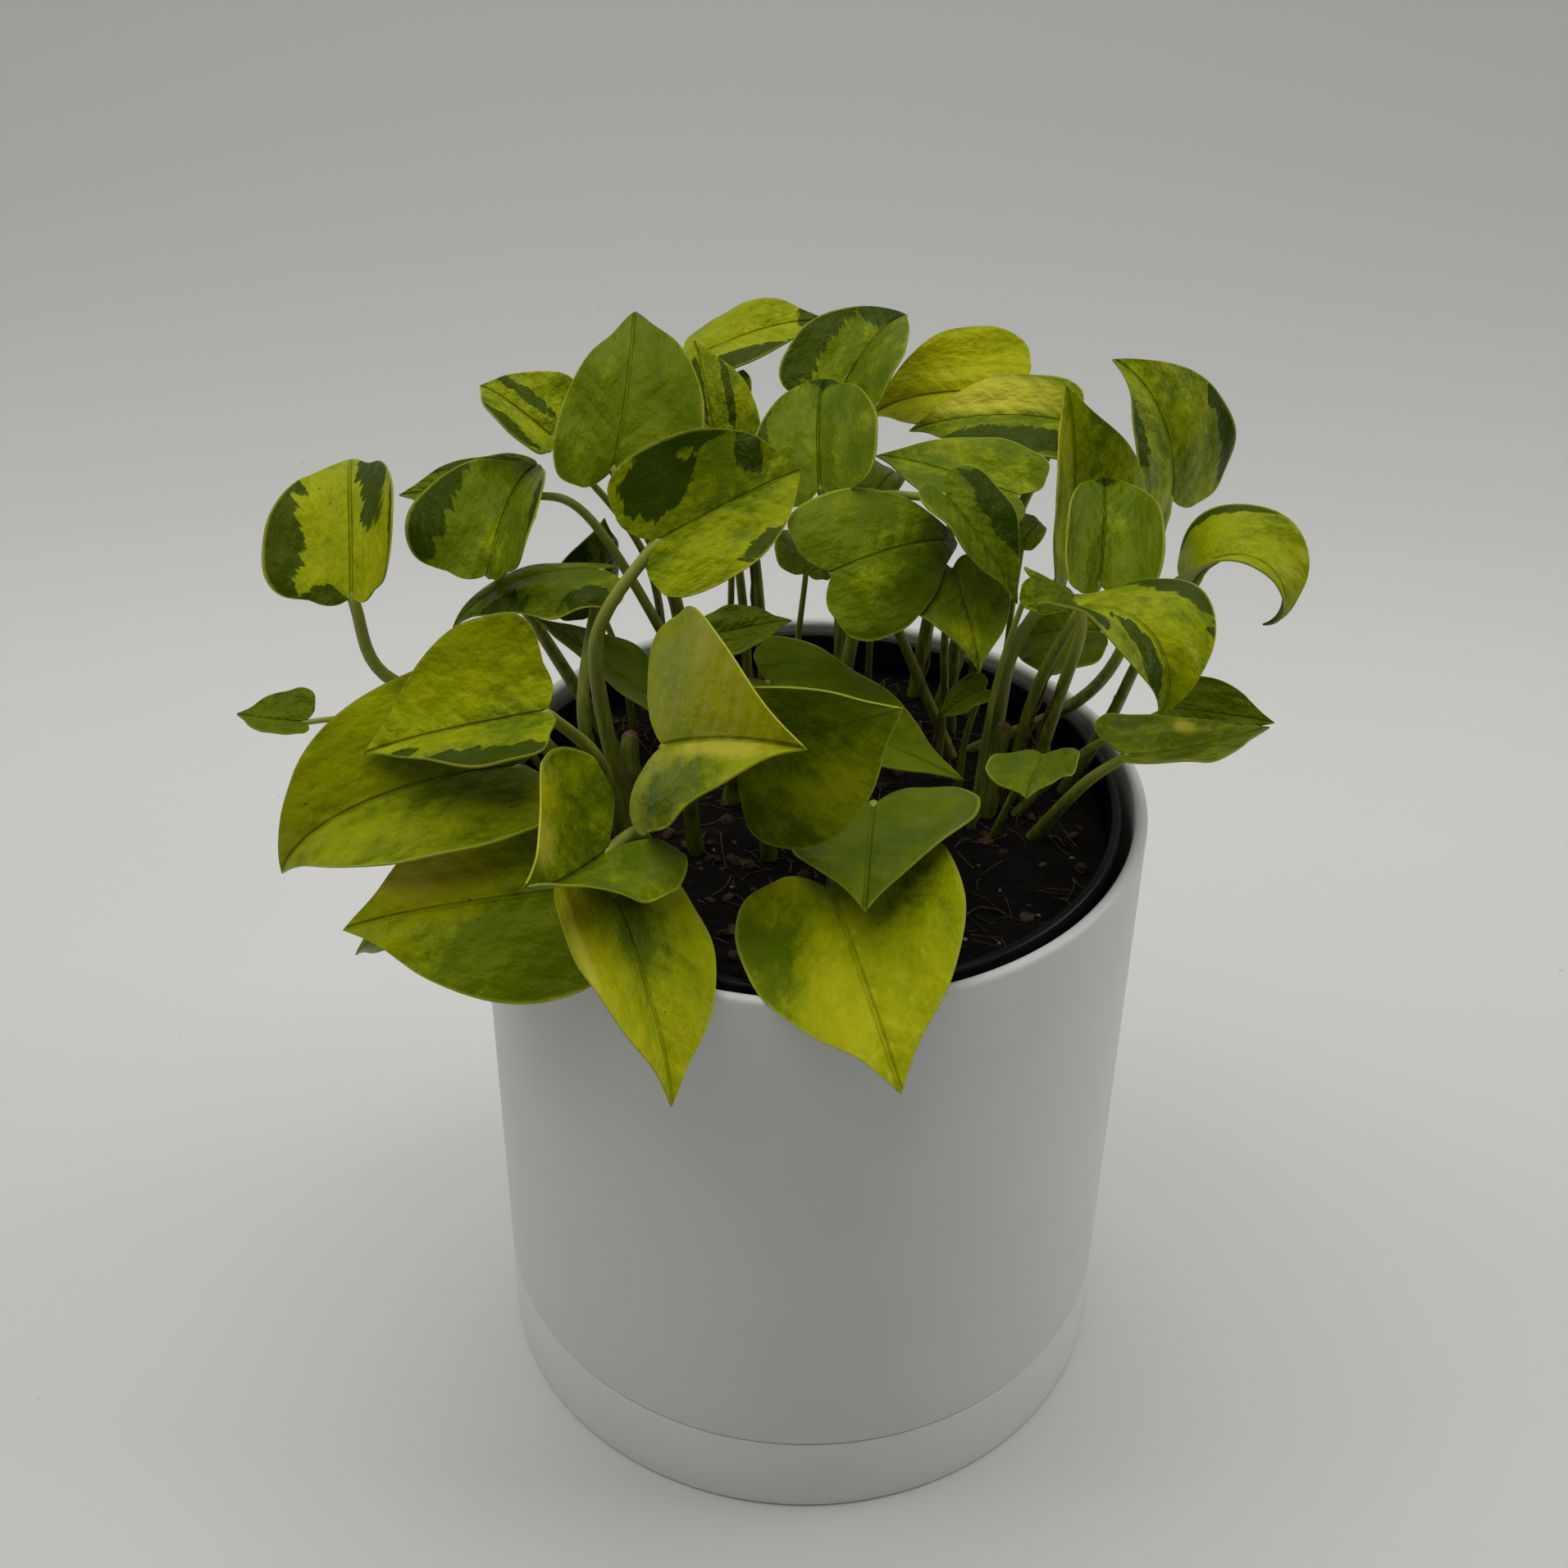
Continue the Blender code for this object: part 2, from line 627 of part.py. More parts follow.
PLANTER_WHITE = new_material("planter_white", (0.72, 0.72, 0.71), 0.42)
SAUCER_WHITE = new_material("saucer_white", (0.70, 0.69, 0.66), 0.45)
POT_BLACK = new_material("pot_black", (0.012, 0.012, 0.013), 0.5)
SOIL_DARK = new_material("soil_dark", (0.018, 0.013, 0.010), 0.95)
VINE_GREEN = new_material("vine_green", (0.16, 0.17, 0.04), 0.55)
LEAF_GREEN = new_material("leaf_green", (0.20, 0.26, 0.015), 0.38)

saucer = turned(
    "planter_saucer",
    [
        (0, saucer_floor),
        (saucer_bore, saucer_floor),
        (saucer_bore, saucer_height - 0.4),
        (saucer_bore + 0.4, saucer_height),
        (planter_radius - 0.4, saucer_height),
        (planter_radius, saucer_height - 0.4),
        (planter_radius, 1.0),
        (planter_radius - 1.0, 0),
        (0, 0),
    ],
    PLANTER_STEPS,
    SAUCER_WHITE,
)

lip_in = arc(planter_bore + planter_lip, planter_height - planter_lip, planter_lip, 180, 90, 3)
lip_out = arc(planter_radius - planter_lip, planter_height - planter_lip, planter_lip, 90, 0, 3)
planter = turned(
    "planter",
    [
        (planter_drain / 2, planter_floor_top),
        (plug_radius - plug_wall, planter_floor_top),
        (plug_radius - plug_wall, planter_seam),
        (planter_bore, planter_seam + planter_wall),
        *lip_in,
        *lip_out,
        (planter_radius, planter_seam + 0.4),
        (planter_radius - 0.4, planter_seam),
        (plug_radius, planter_seam),
        (plug_radius, planter_under),
        (planter_drain / 2, planter_under),
    ],
    PLANTER_STEPS,
    PLANTER_WHITE,
    ring=True,
)

pot_inner_base = pot_base_radius - pot_wall
pot_inner_body = pot_body_radius - pot_wall
pot = turned(
    "grower_pot",
    [
        (0, pot_under + pot_floor),
        (pot_inner_base, pot_under + pot_floor),
        (pot_inner_body, pot_shoulder),
        (pot_mouth_radius, pot_shoulder + 1.5),
        (pot_mouth_radius, pot_top - 0.8),
        (pot_mouth_radius + 0.8, pot_top),
        (pot_rim_radius - 0.8, pot_top),
        (pot_rim_radius, pot_top - 0.8),
        (pot_rim_radius, pot_shoulder),
        (pot_body_radius, pot_shoulder),
        (pot_base_radius, pot_under),
        (0, pot_under),
    ],
    POT_STEPS,
    POT_BLACK,
)
ring = [2 * math.pi * i / pot_ring_holes for i in range(pot_ring_holes)]
ring = [(pot_ring_radius * math.cos(a), pot_ring_radius * math.sin(a)) for a in ring]
cut(pot, through_cutter("centre_hole", [(0, 0)], pot_centre_hole / 2, pot_under - 2, pot_under + pot_floor + 2))
cut(pot, through_cutter("ring_holes", ring, pot_ring_hole / 2, pot_under - 2, pot_under + pot_floor + 2))

soil_radius = pot_mouth_radius - gap
soil_base = pot_under + pot_floor + gap
soil_shoulder = pot_shoulder - 0.3
taper = (pot_inner_body - pot_inner_base) / (pot_shoulder - pot_under - pot_floor)
soil_body_radius = pot_inner_body - taper * 0.3 - gap
mound = [(soil_radius * k / 4, soil_level((soil_radius * k / 4 / plant_scale, 0))) for k in range(5)]
soil = turned(
    "potting_soil",
    [
        *mound,
        (soil_radius, pot_shoulder + 1.9),
        (soil_body_radius, soil_shoulder),
        (pot_inner_base + taper * gap - gap, soil_base),
        (0, soil_base),
    ],
    POT_STEPS,
    SOIL_DARK,
)

for number, (foot, head, radius) in enumerate(VINES, 1):
    low = np.array([foot[0] * plant_scale, foot[1] * plant_scale, soil_level(foot) + gap])
    rise = np.array([(head[0] - foot[0]), (head[1] - foot[1]), head[2]], float) * plant_scale
    size = radius * plant_scale
    low[2] += size * math.hypot(rise[0], rise[1]) / np.linalg.norm(rise)
    steps = [low + rise * k for k in (0, 0.5, 1)]
    vine = tube(f"vine_stem_{number}", steps, [size, size * 0.95, size * 0.75])
    smooth(vine, 50)
    vine.data.materials.append(VINE_GREEN)

for number, leaf in enumerate(LEAVES, 1):
    add_leaf(leaf, f"leaf_{number:02d}")
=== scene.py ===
import json
import math
import random

import bmesh
import bpy
import numpy as np
from mathutils import Matrix, Vector, noise

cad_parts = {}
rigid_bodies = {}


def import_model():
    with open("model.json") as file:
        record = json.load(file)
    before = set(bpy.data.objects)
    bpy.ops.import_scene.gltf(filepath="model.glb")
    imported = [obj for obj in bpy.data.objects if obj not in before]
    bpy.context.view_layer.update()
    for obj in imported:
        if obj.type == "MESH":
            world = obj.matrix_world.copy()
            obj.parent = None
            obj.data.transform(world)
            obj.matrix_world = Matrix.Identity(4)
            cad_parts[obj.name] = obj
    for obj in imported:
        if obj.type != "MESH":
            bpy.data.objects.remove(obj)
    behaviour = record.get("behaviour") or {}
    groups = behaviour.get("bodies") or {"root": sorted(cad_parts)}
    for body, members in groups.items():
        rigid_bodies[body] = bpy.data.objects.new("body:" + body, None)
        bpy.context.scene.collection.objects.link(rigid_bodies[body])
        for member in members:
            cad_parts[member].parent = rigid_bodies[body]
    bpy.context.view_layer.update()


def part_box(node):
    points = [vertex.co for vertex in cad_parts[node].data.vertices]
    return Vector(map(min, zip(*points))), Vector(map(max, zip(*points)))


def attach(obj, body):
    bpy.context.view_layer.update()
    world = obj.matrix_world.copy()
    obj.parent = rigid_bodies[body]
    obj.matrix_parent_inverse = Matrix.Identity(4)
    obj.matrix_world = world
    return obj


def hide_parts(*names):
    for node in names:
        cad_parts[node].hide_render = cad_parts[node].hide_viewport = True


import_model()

# A potted pothos on a pale studio sweep. Sizes are millimetres, turned into metres by mm.
mm = 0.001
random.seed(12)
scene = bpy.context.scene
scene.view_settings.view_transform = "Standard"
scene.view_settings.look = "None"


def onlySelect(*objects):
    for other in bpy.context.view_layer.objects:
        other.select_set(False)
    for obj in objects:
        obj.select_set(True)
    if objects:
        bpy.context.view_layer.objects.active = objects[0]


def applyModifier(obj, modifier):
    onlySelect(obj)
    bpy.ops.object.modifier_apply(modifier=modifier.name)


def bakeTransform(obj):
    onlySelect(obj)
    bpy.ops.object.transform_apply(location=True, rotation=True, scale=True)


def smoothShade(obj, angle=35):
    onlySelect(obj)
    bpy.ops.object.shade_smooth_by_angle(angle=math.radians(angle))


def joinAll(objects, name):
    onlySelect(*objects)
    if len(objects) > 1:
        bpy.ops.object.join()
    joined = bpy.context.view_layer.objects.active
    joined.name = name
    joined.data.name = name
    return joined


def declare(piece, slot, *nodes):
    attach(piece, "root")
    if nodes:
        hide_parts(*nodes)


# Camera: a little above the plant's height, looking down at the pot's mouth.
cameraSpec = {"place": (-6.745, -421.887, 468.268), "down": 34.97, "roll": 0.748, "lens": 47.9}


def makeCamera(spec):
    data = bpy.data.cameras.new("camera")
    data.lens = spec["lens"]
    data.sensor_width = 36
    obj = bpy.data.objects.new("camera", data)
    scene.collection.objects.link(obj)
    down = math.radians(spec["down"])
    roll = math.radians(spec["roll"])
    back = Vector((0, -math.cos(down), math.sin(down)))
    right = Vector((1, 0, 0))
    up = Vector((0, math.sin(down), math.cos(down)))
    turnedRight = right * math.cos(roll) + up * math.sin(roll)
    turnedUp = up * math.cos(roll) - right * math.sin(roll)
    turn = Matrix((turnedRight, turnedUp, back)).transposed().to_4x4()
    obj.matrix_world = Matrix.Translation(Vector(spec["place"]) * mm) @ turn
    scene.camera = obj


makeCamera(cameraSpec)


# A material's node tree, with short calls for the nodes that the looks use.
class Shader:
    def __init__(self, name):
        self.material = bpy.data.materials.new(name)
        self.material.use_nodes = True
        self.tree = self.material.node_tree
        self.surface = self.tree.nodes["Principled BSDF"]

    def give(self, socket, value):
        if isinstance(value, bpy.types.NodeSocket):
            self.tree.links.new(value, socket)
        elif isinstance(value, (tuple, list)) and len(value) == 3 and socket.type == "RGBA":
            socket.default_value = (*value, 1)
        else:
            socket.default_value = value

    def math(self, operation, a, b=0.0, c=0.0):
        node = self.tree.nodes.new("ShaderNodeMath")
        node.operation = operation
        for socket, value in zip(node.inputs, (a, b, c)):
            self.give(socket, value)
        return node.outputs[0]

    def plus(self, a, b):
        return self.math("ADD", a, b)

    def times(self, a, b):
        return self.math("MULTIPLY", a, b)

    # A noise value about its middle, as a swing of this reach.
    def swing(self, value, reach):
        return self.times(self.math("SUBTRACT", value, 0.5), reach)

    def mix(self, factor, a, b):
        node = self.tree.nodes.new("ShaderNodeMix")
        node.data_type = "RGBA"
        self.give(node.inputs["Factor"], factor)
        self.give(node.inputs[6], a)
        self.give(node.inputs[7], b)
        return node.outputs[2]

    def noise(self, vector, scale, detail=3.0, rough=0.55, warp=0.0):
        node = self.tree.nodes.new("ShaderNodeTexNoise")
        self.give(node.inputs["Vector"], vector)
        node.inputs["Scale"].default_value = scale
        node.inputs["Detail"].default_value = detail
        node.inputs["Roughness"].default_value = rough
        node.inputs["Distortion"].default_value = warp
        return node.outputs["Fac"]

    def cells(self, vector, scale):
        node = self.tree.nodes.new("ShaderNodeTexVoronoi")
        self.give(node.inputs["Vector"], vector)
        node.inputs["Scale"].default_value = scale
        return node.outputs["Distance"]

    def step(self, value, low, high):
        node = self.tree.nodes.new("ShaderNodeMapRange")
        node.interpolation_type = "SMOOTHSTEP"
        self.give(node.inputs["Value"], value)
        node.inputs["From Min"].default_value = low
        node.inputs["From Max"].default_value = high
        return node.outputs["Result"]

    def attribute(self, name):
        node = self.tree.nodes.new("ShaderNodeAttribute")
        node.attribute_name = name
        return node

    def parts(self, vector):
        node = self.tree.nodes.new("ShaderNodeSeparateXYZ")
        self.give(node.inputs[0], vector)
        return node.outputs

    def vector(self, x, y, z):
        node = self.tree.nodes.new("ShaderNodeCombineXYZ")
        for socket, value in zip(node.inputs, (x, y, z)):
            self.give(socket, value)
        return node.outputs[0]

    def objectPlace(self):
        return self.tree.nodes.new("ShaderNodeTexCoord").outputs["Object"]

    def bump(self, height, distance, strength=1.0):
        node = self.tree.nodes.new("ShaderNodeBump")
        node.inputs["Distance"].default_value = distance
        node.inputs["Strength"].default_value = strength
        self.give(node.inputs["Height"], height)
        return node.outputs["Normal"]

    def finish(self, colour, roughness, normal, sheen, sheenTint=(1, 1, 1)):
        inputs = self.surface.inputs
        self.give(inputs["Base Color"], colour)
        self.give(inputs["Roughness"], roughness)
        self.give(inputs["Normal"], normal)
        self.give(inputs["Specular IOR Level"], sheen)
        self.give(inputs["Specular Tint"], sheenTint)
        return self.material


def planterLook(name, colour, roughness):
    s = Shader(name)
    place = s.objectPlace()
    broad = s.noise(place, 14, 2)
    fine = s.noise(place, 900, 3)
    x, y, z = s.parts(place)
    rings = s.noise(s.vector(s.times(x, 0.15), s.times(y, 0.15), z), 260, 2)
    tint = s.mix(s.step(broad, 0.3, 0.7), colour, tuple(c * 0.965 for c in colour))
    scuff = s.step(s.noise(place, 70, 5, 0.7), 0.68, 0.8)
    tint = s.mix(s.times(scuff, 0.05), tint, (0.42, 0.41, 0.39))
    height = s.plus(s.times(fine, 0.5), s.times(rings, 0.35))
    rough = s.plus(roughness, s.swing(broad, 0.12))
    return s.finish(tint, rough, s.bump(height, 0.00012, 0.5), 0.45)


def blackPlasticLook():
    s = Shader("nurseryPlastic")
    place = s.objectPlace()
    x, y, z = s.parts(place)
    scratch = s.noise(s.vector(s.times(x, 0.3), s.times(y, 0.3), z), 420, 4, 0.7)
    dust = s.step(s.noise(place, 160, 5, 0.7), 0.52, 0.75)
    colour = s.mix(s.times(dust, 0.25), (0.006, 0.006, 0.0065), (0.030, 0.024, 0.018))
    rough = s.plus(0.34, s.times(dust, 0.25))
    height = s.plus(s.times(scratch, 0.6), s.noise(place, 1500, 2))
    return s.finish(colour, rough, s.bump(height, 0.0001, 0.5), 0.16)


def soilLook():
    s = Shader("peatSoil")
    place = s.objectPlace()
    grain = s.noise(place, 520, 6, 0.7)
    lump = s.noise(place, 90, 4, 0.6)
    crumbs = s.cells(place, 600)
    colour = s.mix(s.step(lump, 0.35, 0.7), (0.0035, 0.0024, 0.0015), (0.0095, 0.0058, 0.0032))
    colour = s.mix(s.step(grain, 0.6, 0.8), colour, (0.040, 0.022, 0.012))
    height = s.plus(s.times(grain, 0.8), s.times(crumbs, 0.6))
    return s.finish(colour, 0.92, s.bump(height, 0.0012, 0.9), 0.2)


def plainGrainLook(name, dark, light, scale, roughness=0.85):
    s = Shader(name)
    place = s.objectPlace()
    grain = s.noise(place, scale, 5, 0.65)
    colour = s.mix(s.step(grain, 0.3, 0.7), dark, light)
    return s.finish(colour, roughness, s.bump(grain, 0.0004, 0.8), 0.25)


# Leaf greens, from the deepest sector to the palest.
leafColours = {
    "deep": (0.016, 0.036, 0.001),
    "mid": (0.082, 0.128, 0.001),
    "olive": (0.120, 0.158, 0.002),
    "lime": (0.275, 0.315, 0.001),
    "gold": (0.390, 0.385, 0.003),
    "cream": (0.520, 0.480, 0.040),
    "under": (0.200, 0.240, 0.040),
    "edge": (0.36, 0.38, 0.03),
}


# The blade: lime and green sectors that break up along the side veins, ribs, spots and a pale margin.
def leafLook(name, colours, underside=False):
    s = Shader(name)
    across, along, edge = s.parts(s.attribute("leafPlace").outputs["Vector"])
    deep, bright, cream = s.parts(s.attribute("leafTone").outputs["Vector"])
    seed = s.attribute("leafSeed").outputs["Fac"]
    away = s.math("ABSOLUTE", across)
    # The side veins leave the midrib and sweep to the tip: sweep is the same all along one vein.
    sweep = s.math("SUBTRACT", along, s.times(s.math("POWER", away, 0.8), 0.36))
    side = s.plus(seed, s.times(s.math("SIGN", across), 3.7))
    streakPlace = s.vector(s.times(sweep, 9.0), s.times(away, 1.6), side)
    streak = s.noise(streakPlace, 1.0, 4, 0.6, 0.3)
    finePlace = s.vector(s.times(sweep, 34.0), s.times(away, 5.0), side)
    fineStreak = s.noise(finePlace, 1.0, 3)
    flatPlace = s.vector(across, s.times(along, 1.4), side)
    cloud = s.noise(flatPlace, 2.3, 4, 0.55)
    mottle = s.noise(flatPlace, 26, 4, 0.7)
    blotch = s.noise(flatPlace, 7.5, 5, 0.65, 0.4)
    # Tone: how yellow the blade is.
    tone = s.plus(bright, s.swing(cloud, 1.5))
    tone = s.plus(tone, s.swing(streak, 0.9))
    tone = s.plus(tone, s.swing(mottle, 0.9))
    tone = s.plus(tone, s.swing(blotch, 1.5))
    colour = s.mix(s.step(cloud, 0.35, 0.65), colours["mid"], colours["olive"])
    colour = s.mix(s.step(tone, 0.0, 1.0), colour, colours["lime"])
    colour = s.mix(s.step(tone, 0.9, 1.7), colour, colours["gold"])
    fleck = s.times(s.step(s.noise(flatPlace, 15, 5, 0.7), 0.56, 0.66), s.step(tone, 0.7, 1.4))
    colour = s.mix(s.times(fleck, 0.45), colour, colours["cream"])
    creamField = s.plus(cream, s.swing(streak, 0.9))
    colour = s.mix(s.step(creamField, 0.0, 0.7), colour, colours["cream"])
    ragged = s.plus(deep, s.swing(streak, 1.5))
    ragged = s.plus(ragged, s.swing(fineStreak, 0.35))
    colour = s.mix(s.times(s.step(ragged, 0.0, 0.10), 0.93), colour, colours["deep"])
    # Small freckles of green on the yellow, and a few brown spots.
    freckle = s.step(s.noise(flatPlace, 60, 2), 0.60, 0.72)
    colour = s.mix(s.times(freckle, 0.30), colour, colours["mid"])
    spotPlace = s.vector(across, s.times(along, 1.3), side)
    spot = s.times(s.step(s.cells(spotPlace, 5.5), 0.075, 0.045), s.step(cloud, 0.52, 0.56))
    colour = s.mix(s.times(spot, 0.75), colour, (0.05, 0.035, 0.006))
    # Ribs: wave is 1 along each side vein, and nought half way to the next.
    wave = s.math("ABSOLUTE", s.math("SINE", s.times(sweep, 25.0)))
    rib = s.math("POWER", wave, 14.0)
    rib = s.times(rib, s.step(away, 0.95, 0.25))
    midrib = s.step(away, 0.036, 0.008)
    colour = s.mix(s.times(rib, 0.05), colour, colours["mid"])
    colour = s.mix(s.times(midrib, 0.20), colour, colours["mid"])
    colour = s.mix(s.times(s.step(edge, 0.955, 0.995), 0.65), colour, colours["edge"])
    if underside:
        colour = s.mix(0.55, colour, colours["under"])
    # Relief: the blade quilts between its veins, and the midrib is a furrow above and a ridge below.
    quilt = s.times(s.math("SUBTRACT", 1.0, wave), s.times(s.step(away, 1.0, 0.1), 0.28))
    relief = s.times(s.plus(quilt, s.times(midrib, 0.9)), 1.0 if underside else -1.0)
    relief = s.plus(relief, s.times(cloud, 4.5))
    relief = s.plus(relief, s.times(s.noise(s.objectPlace(), 1700, 2), 0.12))
    rough = s.plus(0.60 if underside else 0.34, s.swing(mottle, 0.2))
    # The sheen is tinted, so that it doesn't grey the greens.
    return s.finish(colour, rough, s.bump(relief, 0.0007, 0.75), 0.17, (0.95, 1.0, 0.12))


def stalkLook():
    s = Shader("stalkGreen")
    place = s.objectPlace()
    x, y, z = s.parts(place)
    stripePlace = s.vector(s.times(x, 6.0), s.times(y, 6.0), s.times(z, 0.6))
    stripe = s.noise(stripePlace, 130, 3)
    blotch = s.noise(place, 60, 4)
    colour = s.mix(s.step(stripe, 0.35, 0.65), (0.105, 0.130, 0.010), (0.230, 0.255, 0.022))
    colour = s.mix(s.times(s.step(blotch, 0.55, 0.7), 0.5), colour, (0.17, 0.16, 0.02))
    # Stalks carry how far up each place is, and pale towards the blade.
    share = s.parts(s.attribute("leafTone").outputs["Vector"])[0]
    colour = s.mix(s.step(share, 0.35, 1.0), colour, (0.300, 0.330, 0.040))
    speck = s.step(s.noise(place, 520, 2), 0.68, 0.76)
    colour = s.mix(s.times(speck, 0.4), colour, (0.06, 0.05, 0.015))
    return s.finish(colour, 0.48, s.bump(stripe, 0.0003, 0.6), 0.35)


looks = {
    "planter": planterLook("planterWhite", (0.70, 0.695, 0.675), 0.44),
    "saucer": planterLook("saucerWhite", (0.77, 0.76, 0.735), 0.46),
    "pot": blackPlasticLook(),
    "soil": soilLook(),
    "bark": plainGrainLook("barkChips", (0.014, 0.008, 0.004), (0.100, 0.058, 0.028), 420),
    "fibre": plainGrainLook("soilFibres", (0.045, 0.028, 0.014), (0.21, 0.14, 0.075), 600),
    "grit": plainGrainLook("paleGrit", (0.22, 0.20, 0.17), (0.42, 0.39, 0.34), 900, 0.8),
    "sheath": plainGrainLook("drySheath", (0.050, 0.026, 0.010), (0.20, 0.12, 0.05), 500),
    "leaf": leafLook("leafTop", leafColours),
    "leafUnder": leafLook("leafUnder", leafColours, underside=True),
    "stalk": stalkLook(),
}
print("looks made")


# Stage, a pale sweep in metres: the floor runs back and curves up into a wall.
stageSpec = {
    "wallAt": 0.80,
    "curve": 0.45,
    "curveSteps": 16,
    "halfWidth": 8.0,
    "front": -8.0,
    "top": 3.0,
    "colour": (0.70, 0.70, 0.68),
    # Painted shade on the rising wall: where it starts and ends in metres, and how dark it gets.
    "paintedShadeFrom": 0.22,
    "paintedShadeTo": 0.74,
    "paintedShadeShare": 0.64,
}


def makeStage(spec):
    bpy.ops.mesh.primitive_plane_add(size=1)
    obj = bpy.context.active_object
    obj.name = "floorSweep"
    side = [(spec["front"], 0.0), (spec["wallAt"] - spec["curve"], 0.0)]
    for k in range(1, spec["curveSteps"] + 1):
        a = math.pi / 2 * k / spec["curveSteps"]
        y = spec["wallAt"] - spec["curve"] * (1 - math.sin(a))
        side.append((y, spec["curve"] * (1 - math.cos(a))))
    side.append((spec["wallAt"], spec["top"]))
    bm = bmesh.new()
    ends = (-spec["halfWidth"], spec["halfWidth"])
    rows = [[bm.verts.new((x, y, z)) for x in ends] for y, z in side]
    for low, high in zip(rows, rows[1:]):
        bm.faces.new((low[0], low[1], high[1], high[0]))
    bm.to_mesh(obj.data)
    bm.free()
    obj.data.shade_smooth()
    s = Shader("sweepPaper")
    place = s.objectPlace()
    cloud = s.noise(place, 2.2, 3)
    colour = s.mix(s.step(cloud, 0.3, 0.7), spec["colour"], tuple(c * 0.97 for c in spec["colour"]))
    # The paper greys off where it rises.
    # Painted shade: the paper's colour darkens where it rises into the wall.
    back = s.step(s.parts(place)[1], spec["paintedShadeFrom"], spec["paintedShadeTo"])
    colour = s.mix(back, colour, tuple(c * spec["paintedShadeShare"] for c in spec["colour"]))
    speck = s.step(s.noise(place, 190, 1), 0.80, 0.83)
    colour = s.mix(s.times(speck, 0.35), colour, (0.35, 0.33, 0.28))
    grain = s.bump(s.noise(place, 500, 2), 0.0002, 0.3)
    obj.data.materials.append(s.finish(colour, 0.6, grain, 0.25))


def makeLight(name, place, aim, energy, size, colour=(1, 1, 1)):
    data = bpy.data.lights.new(name, "AREA")
    data.energy = energy
    data.color = colour
    data.shape = "RECTANGLE"
    data.size, data.size_y = size
    obj = bpy.data.objects.new(name, data)
    scene.collection.objects.link(obj)
    obj.location = place
    obj.rotation_mode = "QUATERNION"
    obj.rotation_quaternion = (Vector(aim) - Vector(place)).to_track_quat("-Z", "Y")


def makeWorld(colour, strength):
    world = bpy.data.worlds.new("room")
    world.use_nodes = True
    background = world.node_tree.nodes["Background"]
    background.inputs["Color"].default_value = (*colour, 1)
    background.inputs["Strength"].default_value = strength
    scene.world = world


makeStage(stageSpec)
makeLight("overhead", (-0.15, 0.12, 1.25), (0, 0.02, 0.1), 11.3, (1.5, 1.2), (1.0, 1.0, 0.985))
makeLight("windowLeft", (-2.0, 0.15, 1.35), (0, 0, 0.15), 6.5, (1.3, 1.4))
makeLight("windowRight", (2.0, 0.3, 1.35), (0, 0, 0.15), 15.5, (1.3, 1.4))
makeWorld((0.97, 0.98, 1.0), 0.13)
print("stage made")


# A closed turned piece: a small circle, extruded and resized ring by ring along (radius, height) in mm.
def spinProfile(name, profile, steps, material):
    radius, height = profile[0]
    bpy.ops.mesh.primitive_circle_add(vertices=steps, radius=radius * mm, location=(0, 0, height * mm))
    obj = bpy.context.active_object
    bakeTransform(obj)
    bpy.ops.object.mode_set(mode="EDIT")
    bpy.ops.mesh.select_mode(type="EDGE")
    bpy.ops.mesh.select_all(action="SELECT")
    for nextRadius, nextHeight in profile[1:]:
        bpy.ops.mesh.extrude_region_move(TRANSFORM_OT_translate={"value": (0, 0, (nextHeight - height) * mm)})
        scale = nextRadius / radius
        bpy.ops.transform.resize(value=(scale, scale, 1), center_override=(0, 0, nextHeight * mm))
        radius, height = nextRadius, nextHeight
    bpy.ops.mesh.select_all(action="DESELECT")
    bpy.ops.mesh.select_non_manifold(extend=False, use_wire=True, use_boundary=True, use_multi_face=False)
    bpy.ops.mesh.bridge_edge_loops()
    bpy.ops.mesh.select_all(action="SELECT")
    bpy.ops.mesh.normals_make_consistent(inside=False)
    bpy.ops.object.mode_set(mode="OBJECT")
    obj.name = name
    obj.data.name = name
    smoothShade(obj, 40)
    obj.data.materials.append(material)
    return obj


# Points round a corner, in degrees anticlockwise from outward.
def corner(r, z, radius, start, end, count=6):
    angles = [math.radians(start + (end - start) * k / count) for k in range(count + 1)]
    return [(r + radius * math.cos(a), z + radius * math.sin(a)) for a in angles]


planterLow, planterHigh = [Vector(c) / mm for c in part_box("planter")]
saucerHigh = Vector(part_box("planter_saucer")[1]) / mm
potLow, potHigh = [Vector(c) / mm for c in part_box("grower_pot")]
potSpec = {
    "steps": 192,
    "wall": 3.2,
    "floor": 3.2,
    "lip": 1.6,
    "drain": 8,
    "seamGap": 0.3,
    "seamRound": 0.5,
    "plugIn": 3.5,
    "plugWall": 3.0,
    "loopBelowTop": 12,
    "loopAboveSeam": 8,
    "saucerFloor": 3,
    "saucerRound": 1.2,
    "saucerLip": 0.5,
}
nurserySpec = {
    "steps": 160,
    "mouthIn": 2.5,
    "roll": 0.9,
    "collar": 13,
    "bead": 3.4,
    "collarIn": 0.5,
    "wallTopIn": 3.4,
    "wall": 1.2,
    "floor": 1.5,
    "baseRadius": 55,
    "centreHole": 6,
}


